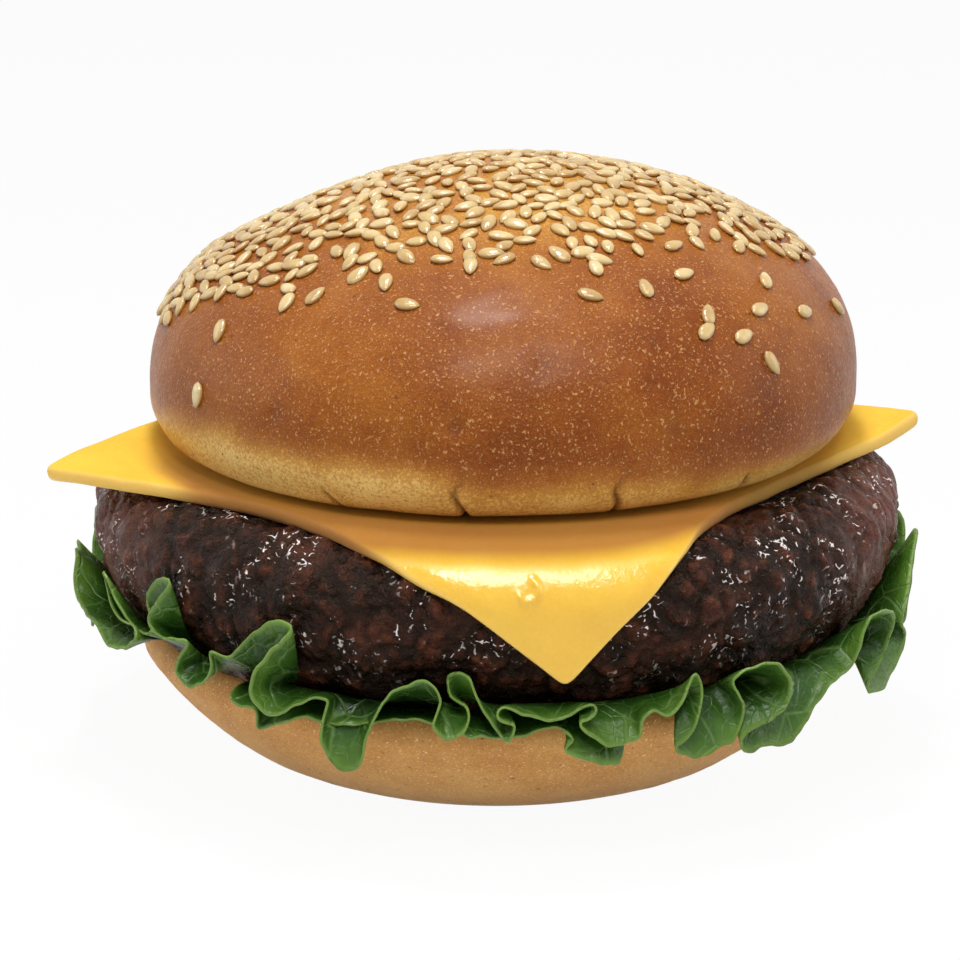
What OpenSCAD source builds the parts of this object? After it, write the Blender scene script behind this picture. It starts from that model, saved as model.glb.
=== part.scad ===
// Hamburger telephone: a clamshell phone in the shape of a burger.
// The lid (crown bun with the earpiece) opens on a hinge at the back and
// bares the keypad that sits in the base (heel, lettuce, patty and cheese).
// +Z is up, the front is -Y, and the ground is z = 0 under the stack axis.

/* [Heel] */
// Radius of the bottom bun at its rim
heel_r = 57.5; // [54:0.5:62]
// Radius of the flat that the bottom bun stands on
heel_foot_r = 35; // [33:0.5:40]
// Height of the bottom bun
heel_h = 16.7; // [15.5:0.1:22]
// How far the side of the bottom bun swells past a straight line
heel_bulge = 1.7; // [0.8:0.1:3]
// Wall of the bottom bun
heel_wall = 2.5; // [1.8:0.1:3]
// Floor of the bottom bun
heel_floor_t = 2.5; // [2.2:0.1:3.5]

/* [Feet] */
// Radius of a rubber foot
foot_r = 4.5; // [3:0.1:5]
// Height of a rubber foot
foot_t = 1.6; // [1.2:0.1:2.2]
// Depth of the seat that a rubber foot is glued in
foot_seat = 0.8; // [0.5:0.1:1]
// Distance of the feet from the axis
foot_ring_r = 28.5; // [26:0.5:29.5]

/* [Lettuce] */
// Thickness of the flat root of the lettuce
root_t = 1.5; // [1:0.1:2.5]
// Inner radius of the flat root
root_in_r = 48.2; // [47.8:0.1:50]
// How far the flat root, past which the leaf waves, stays inside the side of the patty
root_tuck = 6.6; // [4.6:0.1:8]
// How far the leaf reaches past its root
leaf_reach = 10.2; // [7:0.1:12]
// Thickness of the leaf at its edge
leaf_t = 0.9; // [0.6:0.1:1.4]
// Rise of the middle of the leaf edge above the root
leaf_rise = 5.6; // [3:0.1:8]
// Height of a ruffle above and below the middle of the leaf edge
ruffle_amp = 10.6; // [4:0.1:11]
// Number of ruffles round the leaf
ruffles = 21; // [14:1:24]

/* [Patty] */
// Largest radius of the patty
patty_r = 64.4; // [61:0.1:68]
// Height of the patty
patty_h = 29; // [28:0.5:34]
// Radius of the upper shoulder of the patty
shoulder_r = 9; // [7:0.5:10]
// Wall and deck of the patty shell
patty_wall = 2.5; // [1.8:0.1:3]
// Radius of the hole in the deck that takes the keypad unit
deck_hole_r = 40; // [39.9:0.1:41]
// Radius of the hole in the underside of the patty
patty_under_r = 39.5; // [36:0.5:40]

/* [Cheese] */
// Side of the square slice
cheese_w = 104; // [100:1:108]
// Thickness of the slice
cheese_t = 3; // [2.2:0.1:4]
// Corner radius of the slice
cheese_corner_r = 3; // [1:0.5:8]
// Turn of the slice about the stack axis
cheese_turn = -33; // [-37:1:-29]
// Sideways place of the middle of the slice
cheese_x = -0.6; // [-3:0.1:1]
// Front to back place of the middle of the slice
cheese_y = -4; // [-6:0.1:-2]
// Height of the hanging front corner above the ground
tip_z = 30.4; // [27:0.1:36]
// Sideways place of the hanging front corner
tip_x = 10.6; // [6:0.1:14]
// Radius of the rounded end of the hanging corner
tip_r = 2.2; // [1:0.1:3]

/* [Crown] */
// Largest radius of the top bun
crown_r = 57; // [55:0.1:57.2]
// Height of the top bun
crown_h = 43.5; // [38:0.5:52]
// Height of the widest line above the rim
belly_h = 10.2; // [9:0.1:13]
// Radius of the rounded side of the dome
side_r = 24; // [20:0.5:28]
// Radius of the rounded lower edge
edge_r = 8; // [6:0.1:8.5]
// Wall of the top bun
crown_wall = 2.6; // [1.8:0.1:3]
// Thickness of the collar that holds the ear plate
collar_t = 2; // [1.5:0.1:3]
// Gap between the closed lid and the cheese
lid_gap = 0.3; // [0.3:0.05:1]

/* [Sesame seeds] */
// Length of a seed
seed_l = 3.7; // [2.5:0.1:4.5]
// Width of a seed
seed_w = 2.3; // [1.6:0.1:2.8]
// Radius of the cap that is strewn with seeds
seed_cap_r = 50; // [40:1:53]
// Number of seeds on the cap
seed_count = 190; // [60:1:220]

/* [Hinge] */
// Distance of the hinge axis behind the stack axis
hinge_y = 61.5; // [61:0.1:64]
// Height of the hinge axis above the cheese
hinge_rise = 3.5; // [3.4:0.1:4.5]
// Outer radius of the hinge barrels
barrel_r = 3.5; // [3.2:0.1:3.9]
// Width of the lid barrel
lid_barrel_w = 15.4; // [12:0.1:18]
// Width of each base barrel
base_barrel_w = 8; // [6:0.1:10]
// Gap between neighbouring barrels
barrel_gap = 0.3; // [0.2:0.05:0.6]
// Outer radius of the hollow hinge pin
pin_r = 2; // [1.9:0.05:2.2]
// Radius of the hole along the hinge pin
pin_hole_r = 1.25; // [1.1:0.05:1.4]
// Radial clearance of the pin in the lid barrel
pin_clear = 0.08; // [0.05:0.01:0.1]
// Radial clearance of the pin in the base barrels
pin_seat = 0.02; // [0.01:0.01:0.03]

/* [Ear plate] */
// Thickness of the ear plate
ear_plate_t = 2.2; // [1.6:0.1:3]
// Height of the ear plate above the rim of the lid
ear_plate_rise = 4.7; // [4.4:0.1:5.5]
// Gap between the ear plate and its collar
ear_plate_gap = 0.3; // [0.2:0.05:0.6]
// Distance of the earpiece in front of the stack axis
ear_y = 20; // [14:0.5:22]
// Radius of the earpiece pad
ear_pad_r = 16.5; // [14:0.5:19]
// How far the earpiece pad stands out of the plate
ear_pad_t = 1.2; // [0.6:0.1:1.5]
// Radius of one sound hole in the earpiece
ear_hole_r = 1.1; // [0.8:0.05:1.4]
// Radius of the receiver capsule
receiver_r = 14; // [11:0.5:14.5]
// Height of the receiver capsule
receiver_h = 7.5; // [5:0.5:9]

/* [Keypad] */
// Radius of the keypad faceplate
face_r = 43; // [42.8:0.1:43.8]
// Thickness of the keypad faceplate
face_t = 2.5; // [2:0.1:2.8]
// Gap between the faceplate and the cheese round it
face_gap = 0.3; // [0.2:0.05:0.6]
// Width of a number key
key_w = 12.4; // [10:0.1:13]
// Depth of a number key, front to back
key_d = 9.2; // [7:0.1:9.6]
// Width of a function key
fkey_w = 12; // [10:0.1:14]
// Depth of a function key
fkey_d = 6.6; // [5:0.1:7]
// Spacing of the keys from side to side
key_pitch_x = 16; // [15.2:0.1:16.4]
// Spacing of the keys from front to back
key_pitch_y = 12.2; // [11.8:0.1:12.5]
// Place of the top row behind the stack axis
key_top_y = 24.2; // [23:0.1:24.8]
// Height of the key tops above the faceplate
key_proud = 2.6; // [1.8:0.1:2.9]
// Travel of a key
key_travel = 1.2; // [0.8:0.1:1.3]
// Gap round a key in its hole
key_gap = 0.35; // [0.3:0.05:0.5]
// Corner radius of a key
key_corner_r = 1.8; // [1:0.1:2.5]
// Thickness of the flange that keeps a key in
key_flange_t = 1.2; // [0.8:0.1:1.4]
// How far the flange stands out of the key
key_flange_w = 0.8; // [0.6:0.05:0.9]
// Space between the flange and the faceplate, and under a pressed key
key_slack = 0.3; // [0.3:0.05:0.5]
// Thickness of the rubber mat under the keys
mat_t = 0.8; // [0.6:0.1:1]
// Height of the rubber domes on the mat
dome_h = 0.4; // [0.3:0.1:0.6]
// Thickness of the circuit boards
board_t = 1.6; // [1.2:0.1:2]
// Radius of the keypad board
key_board_r = 38; // [37.5:0.1:38]

/* [Hook switch] */
// Radius of the hook plunger
plunger_r = 2.4; // [2:0.1:2.8]
// Distance of the plunger behind the stack axis
plunger_y = 35; // [34.8:0.1:35.2]
// Travel of the plunger
plunger_travel = 3; // [2:0.1:3.4]
// Length of the plunger under the faceplate
plunger_depth = 8.4; // [7.8:0.1:9]

/* [Electrics] */
// Radius of the microphone capsule
mic_r = 3; // [2:0.1:3.2]
// Distance of the microphone in front of the stack axis
mic_y = 33.6; // [33:0.1:34]
// Width of the main circuit board
main_board_w = 56; // [48:1:58]
// Depth of the main circuit board, front to back
main_board_d = 72; // [64:1:74]
// Front to back place of the middle of the main circuit board
main_board_y = 8; // [6:0.5:8]
// Height of the posts under the main circuit board
board_post_h = 5.5; // [5:0.1:7]
// Width of the line jack
jack_w = 13.4; // [12:0.1:14]
// Height of the line jack
jack_h = 12.6; // [11:0.1:13]
// Depth of the line jack
jack_d = 15.5; // [14:0.1:17]
// Width of the socket in the line jack
socket_w = 9.7; // [9.5:0.1:10]
// Height of the socket in the line jack
socket_h = 6.7; // [6.5:0.1:7]
// Depth of the socket in the line jack
socket_d = 12; // [10:0.1:12.5]
// Radius of the ringer disc
ringer_r = 13; // [10:0.5:13.5]
// Height of the ringer disc
ringer_h = 3.5; // [2.5:0.1:5]
// Travel of the two slide switches
slider_travel = 3; // [2:0.1:3.4]
// Radius of a lead
lead_r = 0.8; // [0.6:0.05:0.9]

/* [Screws] */
// Radius of the screw shanks
screw_r = 1.5; // [1.2:0.05:1.6]
// Radius of the screw heads
screw_head_r = 2.7; // [2.4:0.1:2.9]
// Height of the screw heads
screw_head_t = 1.6; // [1:0.1:1.8]
// Radius of the screw posts
post_r = 3.3; // [3:0.1:3.6]
// Distance of the heel screws from the axis
heel_screw_r = 27; // [26:0.5:28]
// Distance of the chassis screws inside the root of the lettuce
chassis_screw_in = 4.2; // [3.9:0.1:4.4]
// Distance of the lid screws from the axis
lid_screw_r = 40; // [38:0.5:42]
// Thickness of the chassis plate
chassis_t = 2.5; // [2:0.1:3]

/* [Hidden] */
$fn = 96;

// Levels of the stack, from the ground up
foot_proud = foot_t - foot_seat;
heel_z = foot_proud;
heel_floor_z = heel_z + heel_floor_t;
heel_top = heel_z + heel_h;
patty_z = heel_top + root_t;
patty_top = patty_z + patty_h;
cheese_top = patty_top + cheese_t;
crown_z = cheese_top + lid_gap;
crown_top = crown_z + crown_h;
belly_z = crown_z + belly_h;
deck_z = patty_top - patty_wall;
shoulder_z = patty_top - shoulder_r;
low_r = shoulder_z - patty_z;
chassis_z = heel_top - chassis_t;
main_board_z = heel_top + board_post_h;
main_board_top = main_board_z + board_t;
face_top = patty_top + face_t;
key_top_z = face_top + key_proud;
key_flange_z = patty_top - key_slack - key_flange_t;
dome_top = key_flange_z - key_travel - key_slack;
key_board_top = dome_top - dome_h - mat_t;
key_board_z = key_board_top - board_t;
ear_plate_z = crown_z + ear_plate_rise;
ear_plate_top = ear_plate_z + ear_plate_t;
ear_pad_z = ear_plate_z - ear_pad_t;
hinge_z = cheese_top + hinge_rise;

// Small shared sizes
overlap = 1;
far = 200;
touch = 0.1;
slide_gap = 0.3;
screw_pilot_r = screw_r + 0.02;
screw_hole_r = screw_r + 0.3;
head_gap = 0.3;
rib_t = 1.2;
lead_bend = 0.06;
lead_end = 0.35;

// Arc of the side of the heel, through its foot and its rim
heel_chord = [heel_r - heel_foot_r, heel_h];
heel_chord_l = norm(heel_chord);
heel_arc_r = (pow(heel_chord_l / 2, 2) + pow(heel_bulge, 2)) / (2 * heel_bulge);
heel_out = [heel_chord[1], -heel_chord[0]] / heel_chord_l;
heel_mid = [(heel_foot_r + heel_r) / 2, heel_z + heel_h / 2];
heel_arc_c = heel_mid - heel_out * (heel_arc_r - heel_bulge);

// Two tangent arcs of the dome of the crown: its side, and its flatter top
side_x = crown_r - side_r;
dome_rise = crown_top - belly_z;
top_r = (pow(side_x, 2) + pow(dome_rise, 2) - pow(side_r, 2)) / (2 * (dome_rise - side_r));
top_c = crown_top - top_r;
meet_a = asin(side_x / (top_r - side_r));
rim_r = crown_r - edge_r;
root_out_r = patty_r - root_tuck;
chassis_screw_r = root_in_r - chassis_screw_in;
collar_r = rim_r - collar_t;

// Keypad
dome_top_r = 3.4;
face_edge_r = 0.6;
face_post_r = 2.4;
face_posts = [[31, 13], [-31, 13], [-31, -13], [31, -13]];
face_skirt_out = deck_hole_r - slide_gap;
face_skirt_t = 1.2;
snap_turns = [0, 90, 180, 270];
snap_w = 7;
snap_turn = 45;
snap_barb = 1.1;
snap_barb_h = 1.6;
fkey_y = key_top_y - 3 * key_pitch_y - key_d / 2 - fkey_d / 2 - 2 * key_flange_w - 1.4;
fkey_x = 9;
key_dish_r = 38;
key_dish = 0.45;

// Hook switch
plunger_z = face_top + 0.7;
plunger_low = patty_top - plunger_depth;
plunger_flange_r = plunger_r + 0.9;
plunger_flange_t = 1;
hook_slot_w = 2 * plunger_flange_r + 1.4;
hook_lever_t = 0.5;
hook_body = [12.8, 6, 5.6];

// Chassis and boards
chassis_r = heel_arc_c[0] + sqrt(pow(heel_arc_r - heel_wall, 2) - pow(chassis_z - heel_arc_c[1], 2)) - 0.4;
main_posts = [for (x = [-1, 1], y = [-1, 1])
    [x * (main_board_w / 2 - 4.5), main_board_y + y * (main_board_d / 2 - 16.5)]];
chassis_turns = [20, 160, 200, 340];
heel_turns = [0, 90, 180, 270];
foot_turns = [45, 135, 225, 315];
lid_turns = [35, 145, 215, 325];
jack_face_y = patty_r - 5;
jack_tongue_y = 50;
jack_z = main_board_top;
jack_gap = 0.4;
socket_z = jack_z + 2.6;
ringer_y = -5;
slider_x = 13;
slider_y = 14;
slider_knob = [3.2, 2.2];
slider_stem = [2.4, 1.2];
slider_pocket = 1.2;
slider_head_t = heel_floor_t - slider_pocket + 1;
switch_body = [11, 5, 4.6];
weight = [38, 32, 3];
lead_window_y = -37;
lead_window = [16, 7];

// ---------------------------------------------------------------- shared

// Half-plane above a level, as a profile
module above(z) {
    translate([0, z]) square([far, far]);
}

// Half-plane below a level, as a profile
module below(z) {
    translate([0, z - far]) square([far, far]);
}

// Rectangle with round corners, centred
module round_rect(w, d, r) {
    square([w - 2 * r, d], center = true);
    square([w, d - 2 * r], center = true);
    for (x = [-1, 1], y = [-1, 1]) {
        translate([x * (w / 2 - r), y * (d / 2 - r)]) circle(r = r, $fn = 32);
    }
}

// Plate with round corners, standing on z
module round_plate(w, d, t, r) {
    linear_extrude(t) round_rect(w, d, r);
}

// Box centred in x and y, standing on z = 0
module block(size) {
    translate([-size[0] / 2, -size[1] / 2, 0]) cube(size);
}

// Copies its children at a radius, once for each turn
module round_axis(turns, r) {
    for (a = turns) {
        rotate(a) translate([r, 0, 0]) children();
    }
}

// Pan-head screw with its head at the bottom and its shank pointing up
module screw_up(length) {
    difference() {
        union() {
            cylinder(r = screw_r, h = screw_head_t + length, $fn = 32);
            cylinder(r = screw_head_r, h = screw_head_t, $fn = 32);
        }
        for (a = [0, 90]) {
            rotate(a) translate([0, 0, -touch]) block([2.4, 0.6, 0.8]);
        }
    }
}

// Round lead through a list of points
module lead(points) {
    for (i = [1:len(points) - 1]) {
        run = points[i] - points[i - 1];
        flat = norm([run[0], run[1]]);
        translate(points[i - 1])
            rotate([0, atan2(flat, run[2]), atan2(run[1], run[0])])
                cylinder(r = lead_r, h = norm(run), $fn = 24);
    }
    for (i = [1:len(points) - 2]) {
        translate(points[i]) sphere(r = lead_r + lead_bend, $fn = 24);
    }
}

// Cylinder along X about the hinge axis, between two x values
module hinge_round(x_from, x_to, r) {
    translate([x_from, hinge_y, hinge_z]) rotate([0, 90, 0]) cylinder(r = r, h = x_to - x_from, $fn = 64);
}

// ------------------------------------------------------------------ heel

module heel_outline() {
    intersection() {
        translate(heel_arc_c) circle(r = heel_arc_r);
        translate([0, heel_z]) square([heel_r, heel_h]);
    }
}

module heel_hollow() {
    intersection() {
        translate(heel_arc_c) circle(r = heel_arc_r - heel_wall);
        translate([0, heel_floor_z]) square([heel_r, heel_h]);
    }
}

module slider_place(side) {
    translate([side * slider_x, slider_y, 0]) children();
}

// Holes in the floor that let the ring out, on three circles
module ringer_holes() {
    translate([0, ringer_y, 0]) {
        cylinder(r = ear_hole_r, h = heel_floor_z + overlap, $fn = 24);
        for (k = [1, 2]) {
            round_axis([for (i = [0:6 * k - 1]) 60 * i / k], 4 * k)
                cylinder(r = ear_hole_r, h = heel_floor_z + overlap, $fn = 24);
        }
    }
}

module slider_cuts() {
    slot_w = slider_knob[0] + slider_travel + 2 * slide_gap;
    for (side = [-1, 1]) {
        slider_place(side) {
            translate([0, 0, heel_z - overlap]) block([slot_w + 3, slider_knob[1] + 4, slider_pocket + overlap]);
            translate([0, 0, heel_z]) block([slot_w, slider_knob[1] + 2 * slide_gap, heel_floor_t + overlap]);
        }
    }
}

module heel_shell() {
    color("#c98f4e") difference() {
        union() {
            rotate_extrude() difference() {
                heel_outline();
                heel_hollow();
            }
            translate([0, ringer_y, heel_floor_z]) difference() {
                cylinder(r = ringer_r + head_gap + rib_t, h = ringer_h + 1);
                cylinder(r = ringer_r + head_gap, h = ringer_h + 2);
            }
            for (side = [-1, 1], end = [-1, 1]) {
                slider_place(side)
                    translate([end * (switch_body[0] / 2 + 0.2 + rib_t / 2), 0, heel_floor_z - touch])
                        block([rib_t, switch_body[1], switch_body[2]]);
            }
        }
        round_axis(foot_turns, foot_ring_r)
            translate([0, 0, heel_z - overlap]) cylinder(r = foot_r + touch, h = foot_seat + overlap, $fn = 48);
        round_axis(heel_turns, heel_screw_r) {
            cylinder(r = screw_hole_r, h = heel_floor_z + overlap, $fn = 32);
            cylinder(r = screw_head_r + head_gap, h = heel_z + screw_head_t, $fn = 32);
        }
        ringer_holes();
        slider_cuts();
    }
}

module rubber_feet() {
    color("#26241f") round_axis(foot_turns, foot_ring_r) rotate_extrude($fn = 48) {
        square([foot_r - 0.6, foot_t]);
        translate([0, 0.6]) square([foot_r, foot_t - 0.6]);
        translate([foot_r - 0.6, 0.6]) circle(r = 0.6, $fn = 24);
    }
}

module heel_screws() {
    color("silver") round_axis(heel_turns, heel_screw_r)
        translate([0, 0, heel_z]) screw_up(9);
}

module weight_plate() {
    color("#8d9196") translate([0, 0, chassis_z - weight[2]]) round_plate(weight[0], weight[1], weight[2], 3);
}

module ringer() {
    color("#c9a04a") translate([0, ringer_y, heel_floor_z]) difference() {
        cylinder(r = ringer_r, h = ringer_h);
        translate([0, 0, 0.6]) cylinder(r = ringer_r - 1.5, h = ringer_h - 1.4);
        translate([0, 0, ringer_h - 1.4]) cylinder(r = 1.6, h = 2);
    }
}

module slide_switches() {
    color("#2b2b2e") for (side = [-1, 1]) {
        slider_place(side) translate([0, 0, heel_floor_z]) difference() {
            block(switch_body);
            translate([0, 0, -overlap])
                block([slider_stem[0] + slider_travel + 2 * slide_gap, slider_stem[1] + 2 * slide_gap, 3.4]);
        }
    }
}

// Knob and stem of a slide switch, resting at the left end of its slot
module slider(side) {
    slider_place(side) translate([-slider_travel / 2, 0, 0]) {
        difference() {
            translate([0, 0, heel_floor_z - slide_gap - slider_head_t])
                block([slider_knob[0], slider_knob[1], slider_head_t]);
            for (x = [-0.9, 0, 0.9]) {
                translate([x, 0, heel_floor_z - slide_gap - slider_head_t - touch])
                    block([0.35, slider_knob[1] + 1, 0.4]);
            }
        }
        translate([0, 0, heel_floor_z - 1]) block([slider_stem[0], slider_stem[1], 2.8]);
    }
}

module ringer_slider() {
    color("#e9e4d6") slider(-1);
}

module tone_slider() {
    color("#e9e4d6") slider(1);
}

// --------------------------------------------------------------- chassis

module chassis_plate() {
    color("#d8cfb8") difference() {
        union() {
            translate([0, 0, chassis_z]) cylinder(r = chassis_r, h = chassis_t);
            round_axis(heel_turns, heel_screw_r)
                translate([0, 0, heel_floor_z]) cylinder(r = post_r, h = chassis_z - heel_floor_z + touch, $fn = 48);
            for (p = main_posts) {
                translate([p[0], p[1], heel_top - touch]) cylinder(r = 2.8, h = board_post_h + touch, $fn = 48);
            }
        }
        round_axis(heel_turns, heel_screw_r)
            translate([0, 0, heel_floor_z - touch]) cylinder(r = screw_pilot_r, h = 11, $fn = 32);
        round_axis(chassis_turns, chassis_screw_r)
            translate([0, 0, chassis_z - overlap]) cylinder(r = screw_hole_r, h = chassis_t + 2 * overlap, $fn = 32);
        for (p = main_posts) {
            translate([p[0], p[1], heel_top + 1]) cylinder(r = 0.9, h = board_post_h, $fn = 32);
        }
        translate([0, lead_window_y, chassis_z - overlap])
            round_plate(lead_window[0], lead_window[1], chassis_t + 2 * overlap, 2);
    }
}

module chassis_screws() {
    color("silver") round_axis(chassis_turns, chassis_screw_r)
        translate([0, 0, chassis_z - screw_head_t]) screw_up(chassis_t + 9);
}

// --------------------------------------------------------------- lettuce

leaf_steps = 5;
leaf_turns = ruffles * 6;

// A valley of the leaf lies under the hanging corner of the cheese
tip_turn = atan2(-sqrt(patty_r * patty_r - tip_x * tip_x), tip_x);

// 1 round the front and sides, falling to almost 0 behind, where the line jack is
function leaf_size(a) =
    let (behind = max(0, 1 - abs(a - 90) / 22))
    1 - 0.94 * min(1, 2.2 * behind);

// Height of the leaf above the middle of its root, at a share s of its reach
function leaf_lift(a, s) =
    (leaf_rise + ruffle_amp * (0.82 + 0.18 * sin(5 * a + 40)) * sin(ruffles * (a - tip_turn) - 90))
    * pow(s, 1.35);

// Point of the leaf: top is 1 on its upper side and -1 on its lower side
function leaf_point(a, s, top) =
    let (
        g = leaf_size(a),
        t = root_t + (leaf_t - root_t) * s,
        r = root_out_r + leaf_reach * s * g,
        z = heel_top + root_t / 2 + leaf_lift(a, s) * g + top * t / 2
    )
    [r * cos(a), r * sin(a), z];

function root_point(a, top) =
    [root_in_r * cos(a), root_in_r * sin(a), heel_top + (top > 0 ? root_t : 0)];

// Cross-section of the leaf at one turn: out along the top, back along the bottom
function leaf_section(a) = concat(
    [root_point(a, 1)],
    [for (i = [0:leaf_steps]) leaf_point(a, i / leaf_steps, 1)],
    [for (i = [leaf_steps:-1:0]) leaf_point(a, i / leaf_steps, -1)],
    [root_point(a, -1)]
);

module lettuce_leaf() {
    n = 2 * leaf_steps + 4;
    points = [for (k = [0:leaf_turns - 1]) each leaf_section(360 * k / leaf_turns)];
    faces = [for (k = [0:leaf_turns - 1], i = [0:n - 1])
        let (k2 = (k + 1) % leaf_turns, i2 = (i + 1) % n)
        each [
            [k * n + i, k * n + i2, k2 * n + i2],
            [k * n + i, k2 * n + i2, k2 * n + i]
        ]];
    color("#4c8a2c") polyhedron(points = points, faces = faces, convexity = 10);
}

// ----------------------------------------------------------------- patty

module patty_outline(inset) {
    intersection() {
        union() {
            translate([patty_r - shoulder_r, shoulder_z]) circle(r = shoulder_r - inset);
            translate([0, shoulder_z]) square([patty_r - shoulder_r, shoulder_r - inset]);
        }
        above(shoulder_z);
    }
    intersection() {
        union() {
            translate([patty_r - low_r, shoulder_z]) circle(r = low_r - inset);
            translate([0, patty_z + inset]) square([patty_r - low_r, low_r - inset]);
        }
        below(shoulder_z);
    }
}

// Height of the rounded underside of the patty at a distance from its axis
function patty_low(r) = shoulder_z - sqrt(pow(low_r, 2) - pow(max(0, r - (patty_r - low_r)), 2));

module base_barrels() {
    inner = lid_barrel_w / 2 + barrel_gap;
    for (side = [-1, 1]) {
        x = side > 0 ? inner : -inner - base_barrel_w;
        hinge_round(x, x + base_barrel_w, barrel_r);
        translate([x, hinge_y - barrel_r, shoulder_z + 2])
            cube([base_barrel_w, 2 * barrel_r, hinge_z - shoulder_z - 2]);
    }
}

// Opening in the rear wall that the line jack looks out of
module jack_window(gap) {
    translate([0, patty_r - 10, jack_z - gap]) block([jack_w + 2 * gap, 20, jack_h + 2 * gap]);
}

module lead_hole() {
    translate([lead_x, lead_y, shoulder_z + 1]) cylinder(r = lead_r + 0.5, h = shoulder_r, $fn = 32);
}

module patty_shell() {
    color("#4a2a1c") difference() {
        union() {
            rotate_extrude() difference() {
                union() {
                    patty_outline(0);
                    translate([root_in_r + 0.6, patty_z])
                        square([rib_t, patty_low(root_in_r + 0.6 + rib_t) - patty_z + 1.2]);
                }
                patty_outline(patty_wall);
                translate([0, patty_z - overlap]) square([patty_under_r, patty_wall + 2 * overlap]);
                translate([0, deck_z - overlap]) square([deck_hole_r, patty_wall + 2 * overlap]);
            }
            round_axis(chassis_turns, chassis_screw_r)
                translate([0, 0, heel_top]) cylinder(r = post_r, h = deck_z - heel_top + touch, $fn = 48);
            base_barrels();
        }
        round_axis(chassis_turns, chassis_screw_r)
            translate([0, 0, heel_top - touch]) cylinder(r = screw_pilot_r, h = 12, $fn = 32);
        jack_window(jack_gap);
        lead_hole();
        hinge_round(-far, far, pin_r + pin_seat);
    }
}

// ------------------------------------------------------ boards and leads

module main_board() {
    color("#2f7a48") difference() {
        union() {
            translate([0, main_board_y, main_board_z]) round_plate(main_board_w, main_board_d, board_t, 5);
            translate([-jack_w / 2, 0, main_board_z]) cube([jack_w, jack_tongue_y, board_t]);
        }
        for (p = main_posts) {
            translate([p[0], p[1], main_board_z - overlap]) cylinder(r = 1.4, h = board_t + 2 * overlap, $fn = 32);
        }
    }
    color("#30343a") translate([0, 0, main_board_top]) {
        translate([-9, 16, 0]) block([12, 9, 3]);
        translate([9, -2, 0]) block([15, 8, 3.2]);
        translate([-14, -12, 0]) block([13, 11, 10]);
        for (x = [20, 13, 7]) {
            translate([main_board_w / 2 - x, main_posts[1][1] - 5.5, 0]) cylinder(r = 2.5, h = 9, $fn = 32);
        }
        for (x = [-4, 2, 8, 14]) {
            translate([x, -16, 0]) block([2.4, 6, 2.2]);
        }
    }
}

module board_screws() {
    color("silver") for (p = main_posts) {
        translate([p[0], p[1], main_board_top]) {
            translate([0, 0, -5]) cylinder(r = 0.9, h = 5.5, $fn = 32);
            cylinder(r = 2.2, h = 1.2, $fn = 32);
        }
    }
}

module line_jack() {
    color("#2a2a2c") difference() {
        translate([0, jack_face_y - jack_d / 2, jack_z]) block([jack_w, jack_d, jack_h]);
        translate([0, jack_face_y - socket_d / 2 + overlap, socket_z])
            block([socket_w, socket_d + 2 * overlap, socket_h]);
        translate([0, jack_face_y - socket_d / 2 + overlap, socket_z + socket_h - touch])
            block([4.2, socket_d + 2 * overlap, 1.7]);
    }
}

// Places that the leads touch
lead_x = lid_barrel_w / 2 + barrel_gap + base_barrel_w + 4.2;
lead_y = hinge_y - 6.5;
lead_clear = lead_r + touch;
ringer_lead_z = heel_floor_z + ringer_h + 1 + lead_clear + 0.3;
ringer_lead = [
    [5, ringer_y - ringer_r + 4, heel_floor_z + ringer_h + lead_end],
    [5, ringer_y - ringer_r + 3, ringer_lead_z],
    [5, lead_window_y + 1, ringer_lead_z],
    [5, lead_window_y, main_board_top + 4],
    [5, main_board_y - main_board_d / 2 + 4, main_board_top + 4],
    [5, main_board_y - main_board_d / 2 + 4.4, main_board_top + lead_end]
];
keypad_lead = [
    [-19, -10, key_board_z - lead_end],
    [-19, -11, key_board_z - 5],
    [-23, -20, key_board_z - 9],
    [-21, -23, main_board_top + 4],
    [-21, -22, main_board_top + lead_end]
];
hinge_lead = [
    [lead_r + 0.5, hinge_y, hinge_z],
    [lead_x - 2, hinge_y, hinge_z],
    [lead_x, hinge_y - 3.5, hinge_z - 2],
    [lead_x, lead_y, patty_top],
    [lead_x, lead_y, shoulder_z - 1],
    [lead_x, main_board_y + main_board_d / 2 - 1, main_board_top + 5],
    [lead_x, main_board_y + main_board_d / 2 - 3, main_board_top + lead_end]
];

module base_leads() {
    color("#c23a2e") {
        lead(ringer_lead);
        lead(keypad_lead);
        lead(hinge_lead);
    }
}

// ---------------------------------------------------------------- cheese

// Section of the skin of cheese that lies over the shoulder of the patty
module drape_outline() {
    difference() {
        union() {
            translate([patty_r - shoulder_r, shoulder_z]) circle(r = shoulder_r + cheese_t);
            translate([patty_r - shoulder_r, tip_z - 5]) square([shoulder_r + cheese_t, shoulder_z - tip_z + 5]);
        }
        translate([patty_r - shoulder_r, shoulder_z]) circle(r = shoulder_r + touch / 2);
        translate([0, tip_z - 6]) square([patty_r + touch / 2, shoulder_z - tip_z + 6]);
        translate([0, tip_z - 6]) square([patty_r - shoulder_r - overlap, far]);
    }
}

// Front view of the hanging corner
module tip_outline() {
    polygon([
        [-44, cheese_top + 2], [-27, cheese_top - 2.4], [-12, shoulder_z + 6],
        [tip_x - 10, shoulder_z - 1.6], [tip_x - 0.8 * tip_r, tip_z + 0.4 * tip_r],
        [tip_x + 0.8 * tip_r, tip_z + 0.4 * tip_r], [tip_x + 12, shoulder_z + 2.4],
        [tip_x + 27, cheese_top + 2]
    ]);
    translate([tip_x, tip_z + tip_r]) circle(r = tip_r, $fn = 32);
}

module slice_outline() {
    translate([cheese_x, cheese_y]) rotate(cheese_turn) round_rect(cheese_w, cheese_w, cheese_corner_r);
}

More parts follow.
